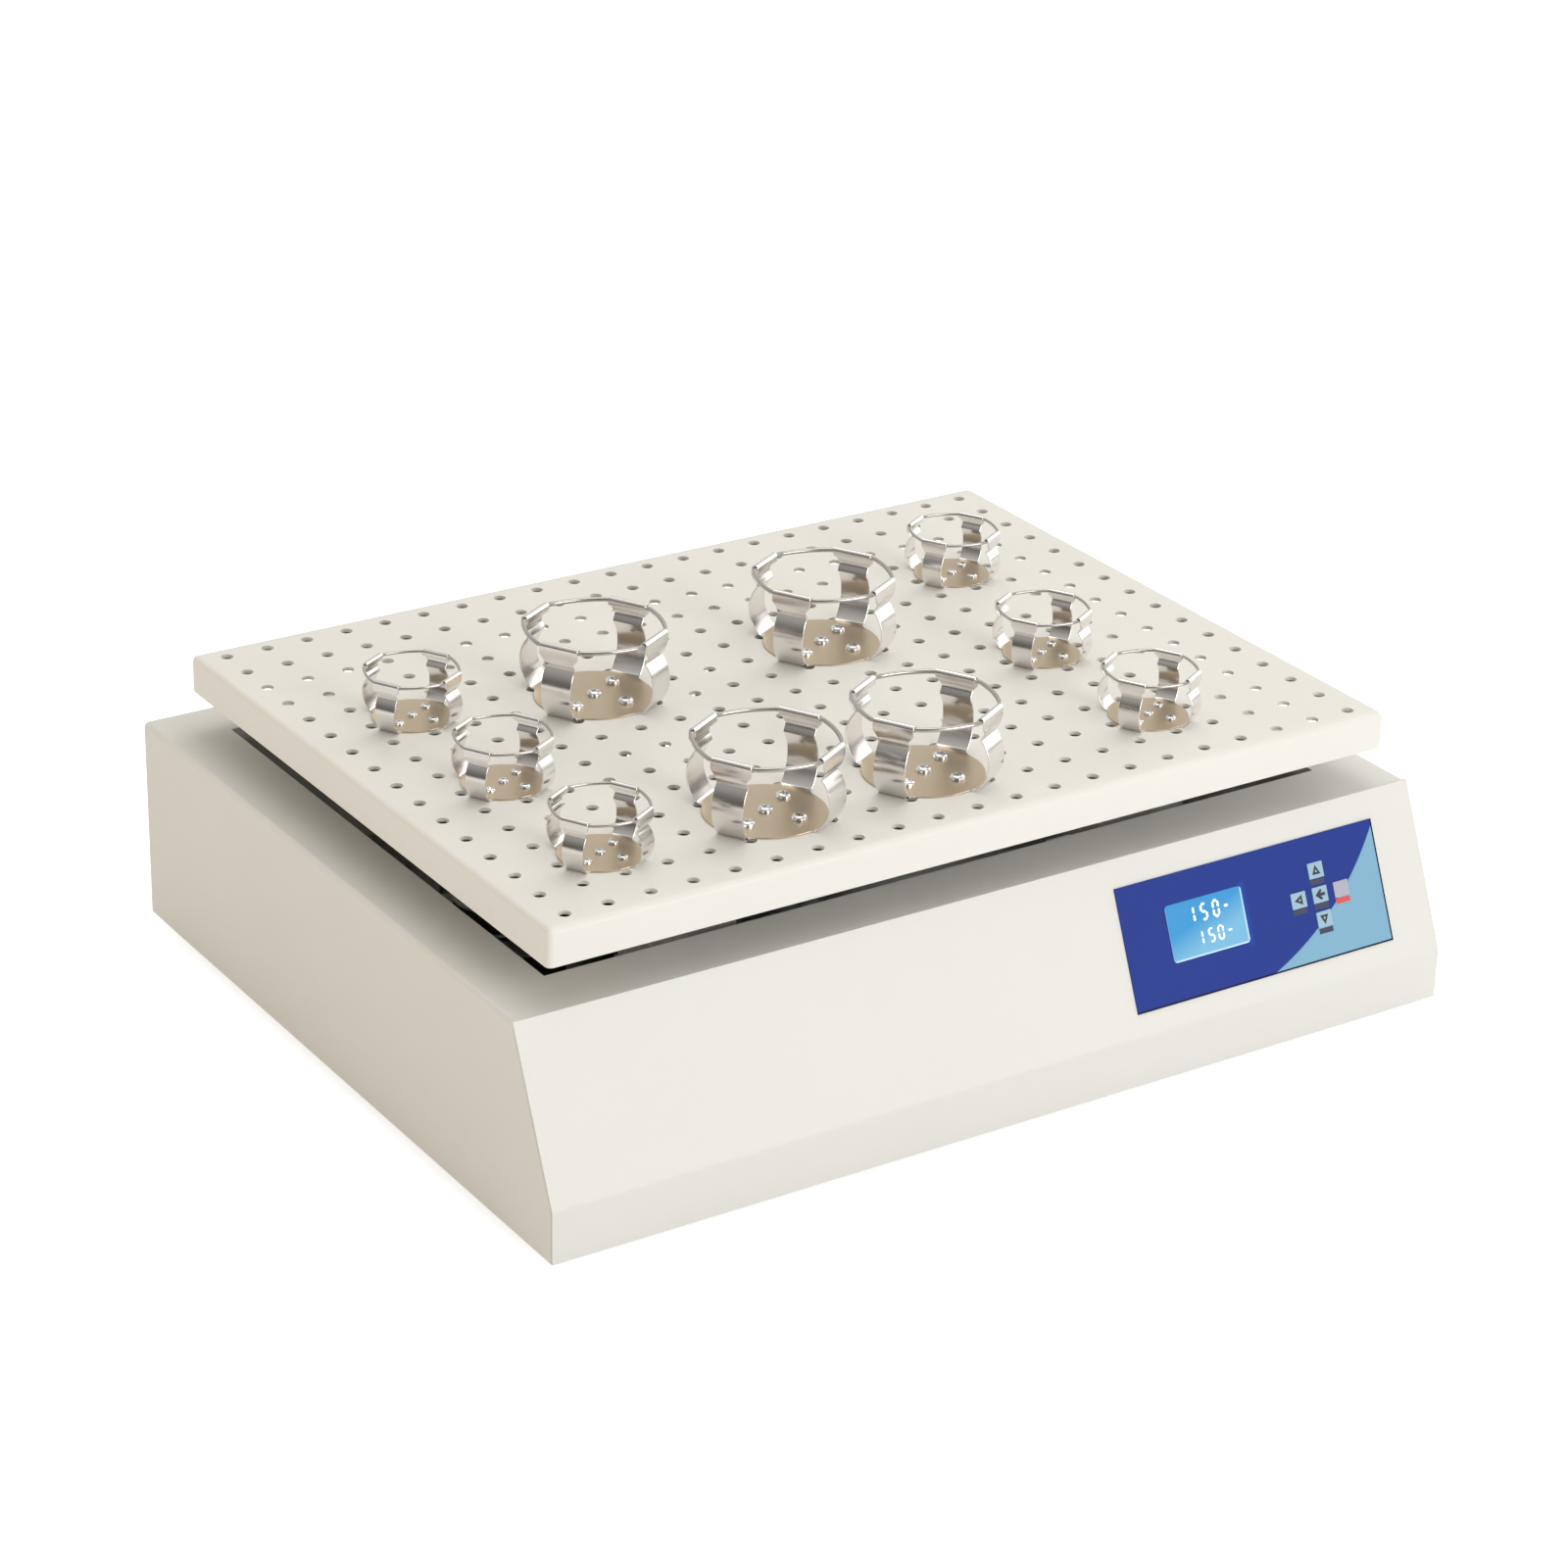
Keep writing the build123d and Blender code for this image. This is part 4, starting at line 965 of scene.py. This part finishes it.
digitSegments = {"0": "abcdef", "1": "bc", "5": "afgcd", "-": "g"}
readout = [
    {
        "top": 4.2,
        "bottom": 16.0,
        "stroke": 1.7,
        "digits": [("1", 17.2, 22.9), ("5", 27.4, 33.2), ("0", 37.2, 43.0), ("-", 45.4, 51.4)],
    },
    {
        "top": 21.4,
        "bottom": 31.2,
        "stroke": 1.25,
        "digits": [("1", 21.4, 26.3), ("5", 30.6, 35.5), ("0", 38.2, 43.2), ("-", 45.6, 50.8)],
    },
]


def makeDigits():
    pieces = []
    left = display["x"] - display["width"] / 2
    upper = display["y"] + display["height"] / 2
    window = 0.7
    for row in readout:
        top, bottom, stroke = row["top"], row["bottom"], row["stroke"]
        middle = (top + bottom) / 2
        for digit, x0, x1 in row["digits"]:
            gap = stroke * 0.62
            x0, x1 = x0 + stroke / 2, x1 - stroke / 2
            y0, y1 = -(top + stroke / 2), -(bottom - stroke / 2)
            ym = -middle
            ends = {
                "a": ((x0 + gap / 3, y0), (x1 - gap / 3, y0)),
                "g": ((x0 + gap / 3, ym), (x1 - gap / 3, ym)),
                "d": ((x0 + gap / 3, y1), (x1 - gap / 3, y1)),
                "f": ((x0, y0 - gap / 3), (x0, ym + gap / 3)),
                "b": ((x1, y0 - gap / 3), (x1, ym + gap / 3)),
                "e": ((x0, ym - gap / 3), (x0, y1 + gap / 3)),
                "c": ((x1, ym - gap / 3), (x1, y1 + gap / 3)),
            }
            for segment in digitSegments[digit]:
                points = bar(*ends[segment], stroke)
                pieces.append(flatShape("segment", points, panelMatrix(left, upper, window), 0.04))
    digits = joined(pieces, "displayDigits")
    finishPiece(digits, "base", "display_glass", looks["displayDigit"])


def makeKeyPrints():
    half = 3.4
    triangle = [(-half, -2.8), (half, -2.8), (0, 3.6)]
    light = [(x * 0.3, y * 0.3 - 0.5) for x, y in triangle]
    turns = {"up": 0, "left": 90, "down": 180}
    for key, (x, y) in keys["places"].items():
        top = panelMatrix(x, y, keys["top"])
        if key in turns:
            spin = Matrix.Rotation(math.radians(turns[key]), 4, "Z")
            icon = flatShape(f"{key}KeyPrint", triangle, top @ spin, keys["icon"])
            window = flatShape(f"{key}KeyWindow", light, top @ spin, keys["icon"] * 2)
            finishPiece(window, f"{key}_key", "key_plastic", looks["keyCap"])
        elif key == "enter":
            arrow = [
                (-4.0, 0), (0.6, 3.8), (1.9, 2.6), (0.2, 1.1), (4.0, 1.1),
                (4.0, -1.1), (0.2, -1.1), (1.9, -2.6), (0.6, -3.8),
            ]
            icon = flatShape(f"{key}KeyPrint", arrow, top, keys["icon"])
        else:
            continue
        finishPiece(icon, f"{key}_key", "black_plastic", looks["keyPrint"])
    strips = []
    for key, (x, y) in keys["places"].items():
        wide, high = keys["stripWidth"] / 2, keys["stripHeight"] / 2
        points = [(-wide, -high), (wide, -high), (wide, high), (-wide, high)]
        under = panelMatrix(x, y - keys["stripDrop"], panel["sheet"])
        strip = flatShape(f"{key}Strip", points, under, keys["stripPrint"])
        if key == "run":
            finishPiece(strip, "base", "panel_film", looks["redStrip"])
        else:
            strips.append(strip)
    finishPiece(joined(strips, "labelStrips"), "base", "panel_film", looks["labelStrip"])


makeDigits()
makeKeyPrints()
print("panel ready")

# Floor, backdrop and lights
studio = {
    "floorSize": 60.0,
    "floorTone": (0.90, 0.90, 0.90),
    "floorLift": 0.68,
    "brightSide": (0.55, 0.45, 0.70),
    "worldDark": (0.07, 0.065, 0.06),
    "worldBright": (0.72, 0.71, 0.68),
    "lamps": [
        ("frontSoftbox", (1.0, -3.5, 1.25), (0, 0, 0.1), 2.4, 72.0, (1.0, 1.0, 1.0)),
        ("topSoftbox", (0.6, 0.8, 3.2), (0, 0, 0.1), 2.2, 22.0, (1.0, 0.985, 0.94)),
        ("leftWarmFill", (-3.4, 0.3, 0.9), (0, 0, 0.1), 2.2, 32.0, (1.0, 0.86, 0.67)),
        ("rightSoftbox", (3.2, 0.6, 1.5), (0, 0, 0.1), 2.6, 26.0, (1.0, 0.99, 0.97)),
    ],
    "unseenInMetal": "leftWarmFill",
}


def makeStudio():
    bpy.ops.mesh.primitive_plane_add(size=studio["floorSize"], location=(0, 0, -0.0005))
    floor = named("studioFloor")
    material, tree, shader = newMaterial("studioFloor")
    shader.inputs["Base Color"].default_value = (*studio["floorTone"], 1)
    shader.inputs["Roughness"].default_value = 0.9
    shader.inputs["Specular IOR Level"].default_value = 0.1
    shader.inputs["Emission Color"].default_value = (1, 1, 1, 1)
    seen = addNode(tree, "LightPath")
    lift = calc(tree, "MULTIPLY", seen.outputs["Is Camera Ray"], studio["floorLift"])
    wire(tree, lift, shader.inputs["Emission Strength"])
    floor.data.materials.append(material)

    world = bpy.data.worlds.new("studioWorld")
    bpy.context.scene.world = world
    world.use_nodes = True
    tree = world.node_tree
    backdrop = tree.nodes["Background"]
    # a soft room, dim towards the front left and bright above and to the right
    where = addNode(tree, "TexCoord")
    facing = addNode(tree, "VectorMath", operation="DOT_PRODUCT")
    facing.inputs[1].default_value = studio["brightSide"]
    wire(tree, where.outputs["Generated"], facing.inputs[0])
    bright = softStep(tree, facing.outputs["Value"], 0.05, 0.6)
    room = mixColour(tree, bright, studio["worldDark"], studio["worldBright"])
    seen = addNode(tree, "LightPath")
    backdropTone = mixColour(tree, seen.outputs["Is Camera Ray"], room, (1.0, 1.0, 1.0))
    wire(tree, backdropTone, backdrop.inputs["Color"])

    for name, spot, aim, size, power, tone in studio["lamps"]:
        bpy.ops.object.light_add(type="AREA", location=spot)
        lamp = bpy.context.object
        lamp.name = name
        lamp.rotation_euler = (Vector(aim) - Vector(spot)).to_track_quat("-Z", "Y").to_euler()
        lamp.data.size = size
        lamp.data.energy = power
        lamp.data.color = tone
        lamp.visible_glossy = name != studio["unseenInMetal"]
    bpy.context.scene.view_settings.view_transform = "Standard"


makeStudio()
print("studio ready")
